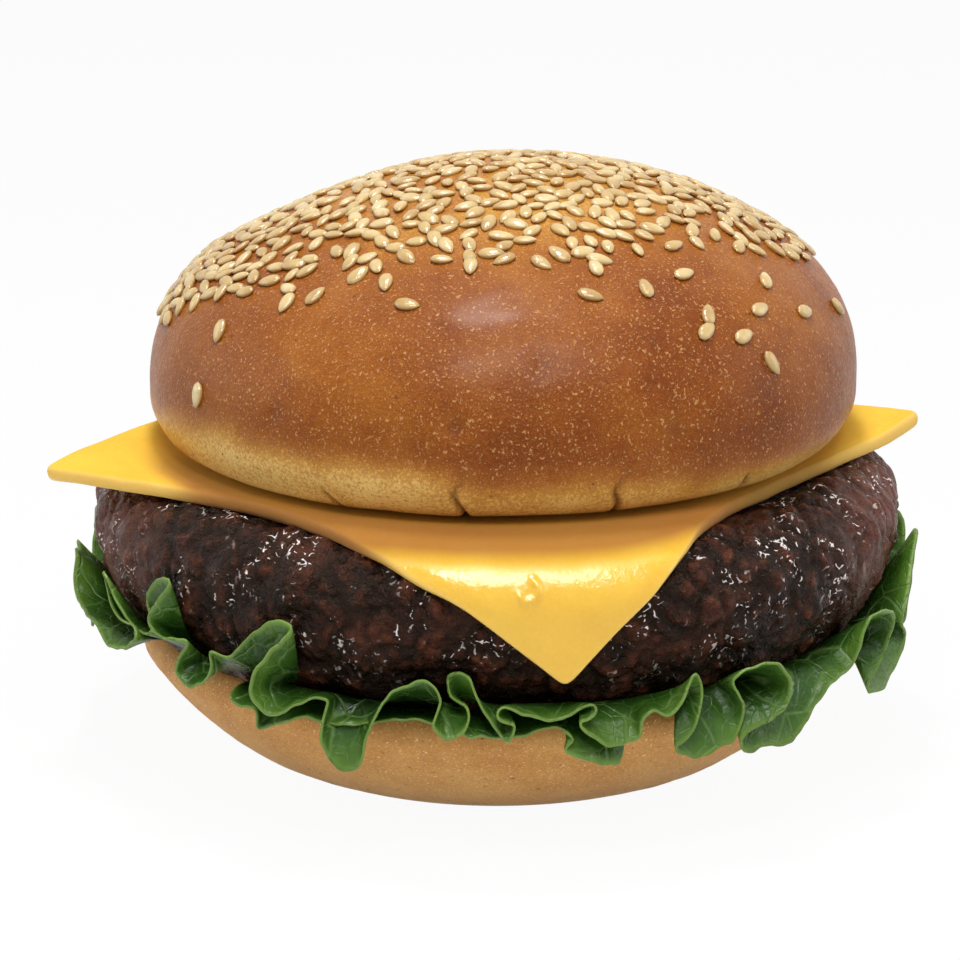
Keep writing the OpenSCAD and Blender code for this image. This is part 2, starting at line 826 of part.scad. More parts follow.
module cheese_slice() {
    notch_x = lid_barrel_w / 2 + barrel_gap + base_barrel_w + 0.6;
    color("#f2a20e") difference() {
        union() {
            difference() {
                translate([0, 0, patty_top]) linear_extrude(cheese_t) slice_outline();
                translate([0, -far, patty_top - overlap]) difference() {
                    translate([-30, 0, 0]) cube([75, far, cheese_t + 2 * overlap]);
                    translate([0, far, -overlap]) cylinder(r = patty_r - shoulder_r, h = far);
                }
            }
            intersection() {
                rotate_extrude() drape_outline();
                linear_extrude(far) slice_outline();
                rotate([90, 0, 0]) linear_extrude(far) tip_outline();
            }
        }
        translate([0, 0, patty_top - overlap]) cylinder(r = face_r + face_gap, h = cheese_t + 2 * overlap);
        translate([-notch_x, hinge_y - barrel_r - 2.4, patty_top - overlap])
            cube([2 * notch_x, far, cheese_t + 2 * overlap]);
    }
}

// ---------------------------------------------------------------- keypad

key_grid = [for (row = [0:3], col = [-1:1]) [col * key_pitch_x, key_top_y - row * key_pitch_y]];
function key_place(n) = key_grid[n];
function fkey_place(side) = [side * fkey_x, fkey_y];

module key_hole(place, w, d) {
    translate([place[0], place[1], patty_top - overlap])
        round_plate(w + 2 * key_gap, d + 2 * key_gap, face_t + 2 * overlap, key_corner_r + key_gap);
}

// Curved catch under the faceplate that snaps behind the edge of the deck
module snap() {
    intersection() {
        rotate_extrude() {
            translate([face_skirt_out - face_skirt_t, deck_z - slide_gap - snap_barb_h])
                square([face_skirt_t, patty_wall + slide_gap + snap_barb_h + touch]);
            translate([face_skirt_out - touch, deck_z - slide_gap - snap_barb_h])
                polygon([[0, 0], [0, snap_barb_h], [snap_barb + touch, snap_barb_h]]);
        }
        translate([0, -snap_w / 2, 0]) cube([far, snap_w, far]);
    }
}

module keypad_faceplate() {
    color("#efe3c4") difference() {
        union() {
            rotate_extrude() {
                translate([0, patty_top]) square([face_r, face_t - face_edge_r]);
                translate([0, patty_top + touch]) square([face_r - face_edge_r, face_t - touch]);
                translate([face_r - face_edge_r, face_top - face_edge_r]) circle(r = face_edge_r, $fn = 24);
            }
            rotate(snap_turn) for (a = snap_turns) {
                rotate(a) snap();
            }
            for (p = face_posts) {
                translate([p[0], p[1], key_board_top])
                    cylinder(r = face_post_r, h = patty_top - key_board_top + touch, $fn = 48);
            }
        }
        for (place = key_grid) {
            key_hole(place, key_w, key_d);
        }
        for (side = [-1, 1]) {
            key_hole(fkey_place(side), fkey_w, fkey_d);
        }
        translate([0, plunger_y, patty_top - overlap])
            cylinder(r = plunger_r + slide_gap, h = face_t + 2 * overlap, $fn = 48);
        for (p = face_posts) {
            translate([p[0], p[1], key_board_top - touch]) cylinder(r = 0.9, h = 4.6, $fn = 32);
        }
        for (x = [-2, 0, 2]) {
            translate([x, -mic_y, patty_top - overlap]) cylinder(r = 0.6, h = face_t + 2 * overlap, $fn = 24);
        }
    }
}

module keypad_mat() {
    color("#b9b6ad") translate([0, 0, key_board_top]) {
        translate([0, (key_top_y + fkey_y) / 2, 0])
            round_plate(2 * key_pitch_x + key_w + 2, key_top_y - fkey_y + key_d + 1, mat_t, 3);
        for (place = concat(key_grid, [fkey_place(-1), fkey_place(1)])) {
            translate([place[0], place[1], mat_t - touch])
                cylinder(r1 = dome_top_r, r2 = dome_top_r - 0.6, h = dome_h + touch, $fn = 32);
        }
    }
}

module keypad_board() {
    color("#2f7a48") difference() {
        translate([0, 0, key_board_z]) cylinder(r = key_board_r, h = board_t);
        for (p = face_posts) {
            translate([p[0], p[1], key_board_z - overlap]) cylinder(r = 1.2, h = board_t + 2 * overlap, $fn = 32);
        }
        translate([0, plunger_y - plunger_flange_r - 0.7 + far / 2, key_board_z - overlap])
            block([hook_slot_w, far, board_t + 2 * overlap]);
        rotate(snap_turn) for (a = snap_turns) {
            rotate(a) translate([key_board_r + snap_w / 2 - 0.9, 0, key_board_z - overlap])
                block([snap_w, snap_w + 2, board_t + 2 * overlap]);
        }
    }
}

module keypad_screws() {
    color("silver") for (p = face_posts) {
        translate([p[0], p[1], key_board_z]) {
            cylinder(r = 0.9, h = board_t + 3.6, $fn = 32);
            translate([0, 0, -1.2]) cylinder(r = 2, h = 1.2, $fn = 32);
        }
    }
}

module microphone() {
    color("#b4b7bb") translate([0, -mic_y, key_board_top]) difference() {
        cylinder(r = mic_r, h = patty_top - key_board_top - 0.4, $fn = 48);
        translate([0, 0, patty_top - key_board_top - 1]) cylinder(r = 1, h = 2, $fn = 24);
    }
}

module hook_switch() {
    lever_z = plunger_low - slide_gap - hook_lever_t;
    body_y = plunger_y - plunger_flange_r - 0.7 - hook_body[1] / 2;
    color("#2b2b2e") translate([0, body_y, key_board_z - hook_body[2]]) block(hook_body);
    color("silver") translate([0, body_y, lever_z]) {
        translate([-1.8, 0, 0]) cube([3.6, plunger_y - body_y + 1.5, hook_lever_t]);
    }
}

module hook_plunger() {
    color("#efe3c4") translate([0, plunger_y, 0]) {
        difference() {
            translate([0, 0, plunger_low]) cylinder(r = plunger_r, h = plunger_z - plunger_low, $fn = 48);
            translate([0, 0, plunger_z + 14.4]) sphere(r = 14.7);
        }
        translate([0, 0, patty_top - slide_gap - plunger_travel - plunger_flange_t])
            cylinder(r = plunger_flange_r, h = plunger_flange_t, $fn = 48);
    }
}

// Key with a dished top and a flange that keeps it under the faceplate
module key(place, w, d) {
    translate([place[0], place[1], 0]) {
        difference() {
            translate([0, 0, key_flange_z]) round_plate(w, d, key_top_z - key_flange_z, key_corner_r);
            translate([0, 0, key_top_z - key_dish + key_dish_r]) sphere(r = key_dish_r);
        }
        translate([0, 0, key_flange_z])
            round_plate(w + 2 * key_flange_w, d + 2 * key_flange_w, key_flange_t, key_corner_r);
    }
}

module number_key(n) {
    color("#f6efdc") key(key_place(n), key_w, key_d);
}

module function_key(side) {
    color("#b8432f") key(fkey_place(side), fkey_w, fkey_d);
}

module key_1() {
    number_key(0);
}

module key_2() {
    number_key(1);
}

module key_3() {
    number_key(2);
}

module key_4() {
    number_key(3);
}

module key_5() {
    number_key(4);
}

module key_6() {
    number_key(5);
}

module key_7() {
    number_key(6);
}

module key_8() {
    number_key(7);
}

module key_9() {
    number_key(8);
}

module key_star() {
    number_key(9);
}

module key_0() {
    number_key(10);
}

module key_hash() {
    number_key(11);
}

module key_flash() {
    function_key(-1);
}

module key_redial() {
    function_key(1);
}

// ----------------------------------------------------------------- hinge

// Hollow pin: the lid lead leaves it through the window in its middle
module hinge_pin() {
    half = lid_barrel_w / 2 + barrel_gap + base_barrel_w - 0.2;
    color("silver") difference() {
        hinge_round(-half, half, pin_r);
        hinge_round(-far, far, pin_hole_r);
        translate([0, hinge_y, hinge_z - 0.9]) block([6, 4 * pin_r, 2 * pin_r]);
    }
}

// ----------------------------------------------------------------- crown

module crown_outline(inset) {
    intersection() {
        union() {
            intersection() {
                translate([0, top_c]) circle(r = top_r - inset, $fn = 192);
                polygon([
                    [0, belly_z - overlap], [side_x, belly_z - overlap], [side_x, belly_z],
                    [side_x, belly_z] + 2 * side_r * [sin(meet_a), cos(meet_a)], [0, crown_top + 2 * side_r]
                ]);
            }
            translate([side_x, belly_z]) circle(r = side_r - inset);
        }
        above(belly_z);
    }
    intersection() {
        union() {
            translate([rim_r, crown_z + edge_r]) circle(r = edge_r - inset);
            translate([0, crown_z + inset]) square([rim_r, belly_h - inset]);
            translate([0, crown_z + edge_r]) square([crown_r - inset, belly_h - edge_r]);
        }
        below(belly_z);
    }
}

module crown_shell() {
    color("#c77a2e") difference() {
        union() {
            rotate_extrude() {
                difference() {
                    crown_outline(0);
                    crown_outline(crown_wall);
                    translate([0, crown_z - overlap]) square([collar_r, crown_wall + 2 * overlap]);
                }
                translate([collar_r, crown_z]) square([collar_t, ear_plate_top - crown_z]);
            }
            intersection() {
                round_axis(lid_turns, lid_screw_r)
                    translate([0, 0, ear_plate_top]) cylinder(r = post_r, h = crown_h, $fn = 48);
                rotate_extrude() crown_outline(crown_wall / 2);
            }
        }
        round_axis(lid_turns, lid_screw_r)
            translate([0, 0, ear_plate_top - touch]) cylinder(r = screw_pilot_r, h = 12, $fn = 32);
        translate([0, crown_r / 2, crown_z - overlap])
            translate([-lid_barrel_w / 2 - 0.6, 0, 0])
                cube([lid_barrel_w + 1.2, crown_r, hinge_z + barrel_r + 0.6 - crown_z + overlap]);
    }
}

// Lean of the dome at a distance from its axis, from the two arcs it is made of
function dome_lean(r) = r < top_r * sin(meet_a) ? asin(r / top_r) : asin(min(1, (r - side_x) / side_r));
function dome_r(lean) = lean < meet_a ? top_r * sin(lean) : side_x + side_r * sin(lean);
function dome_z(lean) = lean < meet_a ? top_c + top_r * cos(lean) : belly_z + side_r * cos(lean);

// Seed lying on the dome: turn is where it is, way is how it is turned on the spot
module seed(turn, lean, way) {
    rotate(turn) translate([dome_r(lean), 0, dome_z(lean)]) rotate([0, lean, 0]) rotate(way)
        translate([-seed_l / 2 + seed_w / 2, 0, -0.1 * seed_w]) rotate([0, 90, 0]) rotate_extrude($fn = 32) {
            intersection() {
                union() {
                    circle(r = seed_w / 2, $fn = 32);
                    polygon([[0, 0], [0.46 * seed_w, 0.2 * seed_w], [0.14 * seed_w, seed_l - seed_w / 2],
                        [0, seed_l - seed_w / 2]]);
                }
                translate([0, -seed_w]) square([seed_w, 2 * seed_l]);
            }
        }
}

// Stray seeds lower on the dome: turn, distance from the axis, way
stray_seeds = [
    [-172, 55, 20], [-160, 54, 70], [-152, 55.5, 120], [-138, 52.5, 40], [-127, 53.6, 80],
    [-112, 52.6, 10], [-104, 53.4, 65], [-92, 52.4, 30], [-74, 52.2, 130], [-66, 53.3, 75],
    [-55, 52.6, 15], [-47, 54.6, 100], [-38, 54.2, 60], [-31, 53.2, 150], [-20, 52.6, 35],
    [-11, 55.2, 95], [4, 53.4, 55], [40, 54, 20], [78, 53, 75], [118, 54, 130], [150, 55, 40]
];

module sesame_seeds() {
    color("#efdcae") {
        for (i = [0:seed_count - 1]) {
            r = seed_cap_r * sqrt((i + 0.5) / seed_count);
            seed(137.508 * i, dome_lean(r), 211 * i + 40 * sin(97 * i));
        }
        for (s = stray_seeds) {
            seed(s[0], dome_lean(s[1]), s[2]);
        }
    }
}

// ------------------------------------------------------------- ear plate

module ear_holes() {
    translate([0, -ear_y, ear_pad_z - overlap]) {
        cylinder(r = ear_hole_r, h = far / 8, $fn = 24);
        for (k = [1, 2]) {
            round_axis([for (i = [0:6 * k - 1]) 60 * i / k], 4.2 * k)
                cylinder(r = ear_hole_r, h = far / 8, $fn = 24);
        }
    }
}

module lid_arm() {
    arm_z = crown_z + 0.9;
    arm_from = collar_r - ear_plate_gap - 4;
    translate([-lid_barrel_w / 2, arm_from, arm_z])
        cube([lid_barrel_w, hinge_y - arm_from, ear_plate_top - arm_z]);
    hinge_round(-lid_barrel_w / 2, lid_barrel_w / 2, barrel_r);
}

lead_rise_y = rim_r + 2.2;

module ear_plate() {
    color("#efe3c4") difference() {
        union() {
            translate([0, 0, ear_plate_z]) cylinder(r = collar_r - ear_plate_gap, h = ear_plate_t);
            lid_arm();
            translate([0, -ear_y, ear_pad_z]) cylinder(r1 = ear_pad_r - 1, r2 = ear_pad_r, h = ear_pad_t + touch);
            translate([0, -ear_y, ear_plate_top - touch]) difference() {
                cylinder(r = receiver_r + head_gap + rib_t, h = receiver_h);
                translate([0, 0, -overlap]) cylinder(r = receiver_r + head_gap, h = receiver_h + 2 * overlap);
            }
            translate([0, plunger_y, plunger_z + 0.4])
                cylinder(r = plunger_r + 0.6, h = ear_plate_z - plunger_z, $fn = 48);
        }
        ear_holes();
        round_axis(lid_turns, lid_screw_r)
            translate([0, 0, ear_plate_z - overlap]) cylinder(r = screw_hole_r, h = 2 * overlap + ear_plate_t, $fn = 32);
        hinge_round(-far, far, pin_r + pin_clear);
        translate([0, lead_rise_y, hinge_z]) rotate([-90, 0, 0])
            cylinder(r = lead_r + 0.3, h = hinge_y - lead_rise_y, $fn = 32);
        translate([0, lead_rise_y, hinge_z]) cylinder(r = lead_r + 0.3, h = far / 8, $fn = 32);
        translate([0, lead_rise_y, hinge_z]) sphere(r = lead_r + 0.3, $fn = 32);
    }
}

module ear_receiver() {
    color("#3a3c40") translate([0, -ear_y, ear_plate_top]) {
        difference() {
            cylinder(r = receiver_r, h = receiver_h);
            translate([0, 0, -touch]) cylinder(r = receiver_r - 2, h = 1.2);
        }
        translate([0, 0, receiver_h - touch]) cylinder(r = receiver_r - 5, h = 1.6);
    }
}

module receiver_ring() {
    lip = receiver_h;
    color("#d8cfb8") translate([0, -ear_y, ear_plate_top + lip]) difference() {
        cylinder(r = receiver_r + head_gap + rib_t, h = 1.6);
        translate([0, 0, -overlap]) cylinder(r = receiver_r - 3.5, h = 1.6 + 2 * overlap);
    }
}

module lid_screws() {
    color("silver") round_axis(lid_turns, lid_screw_r)
        translate([0, 0, ear_plate_z - screw_head_t]) screw_up(ear_plate_t + 8);
}

lid_lead_path = [
    [0, hinge_y, hinge_z],
    [0, lead_rise_y, hinge_z],
    [0, lead_rise_y, ear_plate_top + 3],
    [0, 10, ear_plate_top + receiver_h + 2.6],
    [0, -ear_y + receiver_r - 6, ear_plate_top + receiver_h + 3],
    [0, -ear_y + receiver_r - 8, ear_plate_top + receiver_h + 1.5 + lead_clear]
];

module lid_lead() {
    color("#c23a2e") {
        lead(lid_lead_path);
        translate(lid_lead_path[0]) sphere(r = lead_r + lead_bend, $fn = 24);
    }
}

// ----------------------------------------------------------------- parts

heel_shell();
rubber_feet();
heel_screws();
weight_plate();
ringer();
slide_switches();
ringer_slider();
tone_slider();
chassis_plate();
chassis_screws();
lettuce_leaf();
patty_shell();
main_board();
board_screws();
line_jack();
base_leads();
cheese_slice();
keypad_faceplate();
keypad_mat();
keypad_board();
keypad_screws();
microphone();
hook_switch();
hook_plunger();
key_1();
key_2();
key_3();
key_4();
key_5();
key_6();
key_7();
key_8();
key_9();
key_star();
key_0();
key_hash();
key_flash();
key_redial();
hinge_pin();
crown_shell();
sesame_seeds();
ear_plate();
ear_receiver();
receiver_ring();
lid_screws();
lid_lead();
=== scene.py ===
"""Looks of a hamburger telephone, a clamshell phone that is a cheeseburger while it is closed."""

import math
import random

import bmesh
import bpy
import numpy as np
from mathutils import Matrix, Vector, noise


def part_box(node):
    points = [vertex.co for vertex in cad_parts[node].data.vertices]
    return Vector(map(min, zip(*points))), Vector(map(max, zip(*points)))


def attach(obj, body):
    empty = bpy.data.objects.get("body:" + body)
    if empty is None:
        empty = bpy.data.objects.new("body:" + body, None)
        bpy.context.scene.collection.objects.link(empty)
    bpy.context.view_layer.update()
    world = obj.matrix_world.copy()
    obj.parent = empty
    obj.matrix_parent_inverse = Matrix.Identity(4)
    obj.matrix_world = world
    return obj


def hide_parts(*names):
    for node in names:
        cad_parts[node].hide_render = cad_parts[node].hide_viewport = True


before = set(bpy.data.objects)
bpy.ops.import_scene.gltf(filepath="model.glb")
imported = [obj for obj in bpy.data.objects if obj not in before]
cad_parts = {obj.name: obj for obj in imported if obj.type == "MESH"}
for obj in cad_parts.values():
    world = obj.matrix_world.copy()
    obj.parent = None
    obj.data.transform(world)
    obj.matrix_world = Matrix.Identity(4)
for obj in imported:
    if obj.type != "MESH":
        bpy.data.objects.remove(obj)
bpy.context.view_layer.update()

MM = 0.001

# Levels (Z, TOP) and radii of the construction, in millimetres, as most lengths below
HEEL_Z = 0.8
HEEL_TOP = 17.5
PATTY_TOP = 48.0
CHEESE_TOP = 51.0
CROWN_Z = 51.3
CROWN_TOP = 94.8
BELLY_Z = 61.5
SHOULDER_Z = 39.0
SHOULDER_R = 9.0
PATTY_R = 64.4
LOW_R = 20.0
CROWN_R = 57.0
SIDE_R = 24.0
EDGE_R = 8.0
COLLAR_R = 47.0
COLLAR_TOP = 58.2
HINGE_Z = 54.5


# ---- camera, light

# Point the camera is turned to and its distance from it in metres, its angle upward, its lens in millimetres
CAMERA_TARGET = Vector((-0.0027, 0.0, 0.0424))
CAMERA_FAR = 0.6
CAMERA_UP = 16.3
CAMERA_LENS = 137.9
# Lamps: name, place, point it is turned to, width and depth, all in metres, and power in watts
LAMPS = [
    ("overhead", (-0.03, 0.03, 0.66), (0, 0, 0.04), (0.13, 0.1), 2.0),
    ("front", (0.06, -0.33, 0.53), (0, 0, 0.05), (0.32, 0.26), 1.95),
    ("sparkle", (-0.1, -0.34, 0.5), (0, 0, 0.04), (0.03, 0.03), 0.3),
    ("fill_left", (-0.62, 0.05, 0.28), (0, 0, 0.05), (0.4, 0.4), 0.8),
    ("fill_right", (0.62, 0.05, 0.28), (0, 0, 0.05), (0.4, 0.4), 0.7),
]
# Strength of the white surroundings as a light, share of the floor that glows by itself, half its width
WORLD_LIGHT = 0.16
FLOOR_GLOW = 0.95
FLOOR_HALF = 3.0


def colour(red, green, blue):
    """Linear colour of a display colour from 0 to 255."""
    def linear(value):
        value /= 255
        return value / 12.92 if value < 0.04045 else ((value + 0.055) / 1.055) ** 2.4
    return (linear(red), linear(green), linear(blue), 1.0)


def sine(degrees):
    return math.sin(math.radians(degrees))


def cosine(degrees):
    return math.cos(math.radians(degrees))


def new_object(name, data):
    made = bpy.data.objects.new(name, data)
    bpy.context.scene.collection.objects.link(made)
    return made


def aim(thing, place, target):
    """Puts a camera or a lamp in its place, turned to a point."""
    thing.location = place
    thing.rotation_mode = "QUATERNION"
    thing.rotation_quaternion = (Vector(target) - thing.location).to_track_quat("-Z", "Y")


def make_camera():
    data = bpy.data.cameras.new("camera")
    data.sensor_width = 36.0
    data.lens = CAMERA_LENS
    data.clip_start = 0.05
    data.clip_end = 50.0
    camera = new_object("camera", data)
    way = Vector((0, -cosine(CAMERA_UP), sine(CAMERA_UP)))
    aim(camera, CAMERA_TARGET + CAMERA_FAR * way, CAMERA_TARGET)
    bpy.context.scene.camera = camera


def make_lamps():
    for name, place, target, size, power in LAMPS:
        data = bpy.data.lights.new(name, "AREA")
        data.shape = "RECTANGLE"
        data.size, data.size_y = size
        data.energy = power
        aim(new_object(name, data), place, target)


def sees_white(tree):
    """1 for the rays that look straight, by reflection or through glass, and 0 for the rays that light."""
    path = tree.nodes.new("ShaderNodeLightPath")
    total = path.outputs["Is Camera Ray"]
    for ray in ("Is Glossy Ray", "Is Transmission Ray"):
        larger = tree.nodes.new("ShaderNodeMath")
        larger.operation = "MAXIMUM"
        tree.links.new(total, larger.inputs[0])
        tree.links.new(path.outputs[ray], larger.inputs[1])
        total = larger.outputs[0]
    return total


def make_world():
    world = bpy.data.worlds.new("studio")
    bpy.context.scene.world = world
    world.use_nodes = True
    tree = world.node_tree
    background = tree.nodes["Background"]
    background.inputs["Color"].default_value = (1, 1, 1, 1)
    strength = tree.nodes.new("ShaderNodeMapRange")
    strength.inputs["To Min"].default_value = WORLD_LIGHT
    strength.inputs["To Max"].default_value = 1.0
    tree.links.new(sees_white(tree), strength.inputs["Value"])
    tree.links.new(strength.outputs[0], background.inputs["Strength"])


def make_floor():
    mesh = bpy.data.meshes.new("floor")
    corners = [(FLOOR_HALF * x, FLOOR_HALF * y, 0) for x, y in ((-1, -1), (1, -1), (1, 1), (-1, 1))]
    mesh.from_pydata(corners, [], [(0, 1, 2, 3)])
    floor = new_object("floor", mesh)
    paint = Paint("floor_white")
    paint.base = (0.9, 0.9, 0.9, 1)
    paint.finish(0.9, Specular_IOR_Level=0.0)
    glow = paint.add("ShaderNodeEmission", {"Color": (1, 1, 1, 1), "Strength": 1.0})
    paint.blend(paint.times(sees_white(paint.tree), FLOOR_GLOW), glow)
    mesh.materials.append(paint.material)


# ---- materials


class Paint:
    """A node material in the making: base colour, bumps, and textures measured in millimetres."""

    def __init__(self, name):
        self.material = bpy.data.materials.new(name)
        self.material.use_nodes = True
        self.tree = self.material.node_tree
        self.bsdf = self.tree.nodes["Principled BSDF"]
        self.output = self.tree.nodes["Material Output"]
        self.place = self.tree.nodes.new("ShaderNodeTexCoord").outputs["Object"]
        self.base = self.normal = None

    def put(self, socket, value):
        if isinstance(value, bpy.types.NodeSocket):
            self.tree.links.new(value, socket)
        else:
            socket.default_value = value

    def add(self, kind, inputs=(), **settings):
        """A new node with its settings, and what goes into its inputs."""
        node = self.tree.nodes.new(kind)
        for key, value in settings.items():
            setattr(node, key, value)
        for key, value in dict(inputs).items():
            self.put(node.inputs[key], value)
        return node

    def maths(self, operation, first, second=0.0):
        return self.add("ShaderNodeMath", {0: first, 1: second}, operation=operation).outputs[0]

    def plus(self, first, second):
        return self.maths("ADD", first, second)

    def times(self, first, second):
        return self.maths("MULTIPLY", first, second)

    def vectors(self, operation, *terms):
        return self.add("ShaderNodeVectorMath", enumerate(terms), operation=operation).outputs[0]

    def bent(self, size, amount):
        """The object's place, pushed about by a noise."""
        push = self.add("ShaderNodeTexNoise", {"Vector": self.place, "Scale": 1 / (size * MM)})
        return self.vectors("MULTIPLY_ADD", push.outputs["Color"], (amount * MM,) * 3, self.place)

    def noise(self, size, detail=3.0, rough=0.5, place=None, stretch=None):
        place = place or self.place
        if stretch:
            place = self.vectors("MULTIPLY", place, stretch)
        inputs = {"Vector": place, "Scale": 1 / (size * MM), "Detail": detail, "Roughness": rough}
        return self.add("ShaderNodeTexNoise", inputs).outputs["Fac"]

    def cells(self, size, feature="F1", place=None):
        inputs = {"Vector": place or self.place, "Scale": 1 / (size * MM)}
        return self.add("ShaderNodeTexVoronoi", inputs, feature=feature).outputs["Distance"]

    def level(self, value, low, high, to_low=0.0, to_high=1.0):
        inputs = {"Value": value, "From Min": low, "From Max": high, "To Min": to_low, "To Max": to_high}
        return self.add("ShaderNodeMapRange", inputs).outputs[0]

    def noise_level(self, size, detail, rough, low, high, to_low=0.0, to_high=1.0):
        return self.level(self.noise(size, detail, rough), low, high, to_low, to_high)

    def ramp(self, value, stops):
        """Base colour from a ramp through (position, display colour) stops."""
        node = self.add("ShaderNodeValToRGB", {"Fac": value})
        elements = node.color_ramp.elements
        while len(elements) < len(stops):
            elements.new(0.5)
        for element, (position, tone) in zip(elements, stops):
            element.position = position
            element.color = colour(*tone)
        self.base = node.outputs["Color"]

    def mix(self, share, tone):
        """The base with a share of a display colour."""
        inputs = {"Factor": share, "A": self.base, "B": colour(*tone)}
        return self.add("ShaderNodeMix", inputs, data_type="RGBA").outputs["Result"]

    def dab(self, share, tone):
        self.base = self.mix(share, tone)

    def specks(self, tone, size, low, high):
        self.dab(self.noise_level(size, 2, 0.6, low, high), tone)

    def along(self, axis):
        """The object's place along one axis, in metres."""
        return self.add("ShaderNodeSeparateXYZ", {0: self.place}).outputs[axis]

    def attribute(self, name):
        return self.add("ShaderNodeAttribute", attribute_name=name).outputs["Fac"]

    def bump(self, height, depth):
        """Bump of a depth in millimetres, over those before it."""
        inputs = {"Height": height, "Distance": depth * MM}
        if self.normal is not None:
            inputs["Normal"] = self.normal
        self.normal = self.add("ShaderNodeBump", inputs).outputs[0]

    def finish(self, roughness, **constants):
        self.put(self.bsdf.inputs["Base Color"], self.base)
        self.put(self.bsdf.inputs["Roughness"], roughness)
        if self.normal is not None:
            self.put(self.bsdf.inputs["Normal"], self.normal)
        for key, value in constants.items():
            self.put(self.bsdf.inputs[key.replace("_", " ")], value)
        return self.material

    def blend(self, share, other):
        """Mixes a share of another shader into the finished surface."""
        node = self.add("ShaderNodeMixShader", {0: share, 1: self.bsdf.outputs[0], 2: other.outputs[0]})
        self.put(self.output.inputs["Surface"], node.outputs[0])


def inner_glow(share, depths):
    """Constants of light that goes into the food and comes out again; depths of red, green, blue in mm."""
    return {
        "Subsurface_Weight": share,
        "Subsurface_Radius": tuple(depth * MM for depth in depths),
        "Subsurface_Scale": 1.0,
    }


def crown_material():
    paint = Paint("crown_crust")
    uneven = paint.noise_level(7, 5, 0.6, 0.25, 0.75, -0.09, 0.09)
    grain = paint.noise_level(0.5, 3, 0.8, 0.3, 0.7, -0.22, 0.22)
    paint.ramp(paint.plus(paint.plus(paint.attribute("tone"), uneven), grain), [
        (0.0, (232, 192, 112)), (0.22, (202, 148, 66)), (0.45, (164, 99, 32)),
        (0.7, (132, 66, 16)), (0.88, (104, 47, 10)), (1.0, (80, 33, 6)),
    ])
    paint.specks((198, 142, 84), 0.5, 0.56, 0.7)
    paint.specks((104, 52, 26), 1.3, 0.68, 0.8)
    # Painted shade in the creases and pits of the crust
    paint.dab(paint.attribute("crease"), (96, 46, 20))
    paint.bump(paint.noise(0.5, 3, 0.6), 0.2)
    paint.bump(paint.noise(2.2, 3, 0.5), 0.25)
    paint.bump(paint.level(paint.cells(2.4), 0.0, 0.22), 0.12)
    rough = paint.noise_level(1.2, 3, 0.6, 0.3, 0.7, 0.3, 0.5)
    return paint.finish(
        rough, Specular_IOR_Level=0.1, Coat_Weight=0.13, Coat_Roughness=0.25,
        **inner_glow(0.05, (1.6, 0.8, 0.4)))


def heel_material(name="heel_crust_tan"):
    paint = Paint(name)
    uneven = paint.noise_level(9, 4, 0.6, 0.2, 0.8, 0.2, 0.54)
    grain = paint.noise(0.6, 3, 0.75)
    depth = paint.plus(uneven, paint.level(grain, 0.25, 0.75, -0.3, 0.3))
    # Lighter towards the bottom: painted light from the floor below
    depth = paint.plus(depth, paint.level(paint.along("Z"), 0.002, 0.014, -0.26, 0.0))
    paint.ramp(depth, [
        (0.0, (232, 184, 112)), (0.3, (212, 156, 84)), (0.6, (186, 124, 60)), (1.0, (132, 78, 34)),
    ])
    paint.specks((244, 206, 146), 0.6, 0.6, 0.7)
    paint.specks((120, 64, 28), 0.9, 0.66, 0.78)
    paint.bump(grain, 0.16)
    paint.bump(paint.noise(3, 3, 0.5), 0.2)
    return paint.finish(0.62, Specular_IOR_Level=0.3, **inner_glow(0.1, (1.6, 0.8, 0.4)))


def seed_material():
    paint = Paint("sesame_cream")
    each = paint.noise(5.5, 2, 0.5)
    paint.ramp(each, [(0.3, (186, 150, 88)), (0.5, (206, 176, 114)), (0.7, (226, 202, 148))])
    # Darker rims: toasted seed edges, and painted shade where each seed meets the crust
    paint.dab(paint.attribute("rim"), (150, 106, 48))
    paint.bump(paint.noise(0.8, 2, 0.5), 0.12)
    return paint.finish(0.2, Specular_IOR_Level=0.75, **inner_glow(0.25, (1.2, 0.8, 0.4)))


def cheese_material():
    paint = Paint("cheese_yellow")
    wave = paint.noise(16, 3, 0.5)
    grain = paint.noise(0.7, 3, 0.6)
    paint.ramp(wave, [(0.3, (238, 182, 30)), (0.5, (244, 192, 38)), (0.7, (248, 202, 50))])
    paint.dab(paint.level(grain, 0.3, 0.7, 0.0, 0.22), (255, 214, 84))
    paint.dab(paint.attribute("rim"), (250, 204, 96))
    # Painted shade: the crown's shadow and brown reflection on the slice's front, and a little over its flat
    # top
    paint.dab(paint.attribute("tan"), (146, 78, 8))
    paint.bump(grain, 0.07)
    paint.bump(paint.noise(4.5, 2, 0.5), 0.22)
    rough = paint.noise_level(2.2, 3, 0.6, 0.3, 0.7, 0.1, 0.18)
    rough = paint.plus(rough, paint.times(paint.attribute("dull"), 0.8))
    return paint.finish(rough, Specular_IOR_Level=0.85, **inner_glow(0.1, (3.0, 1.6, 0.5)))


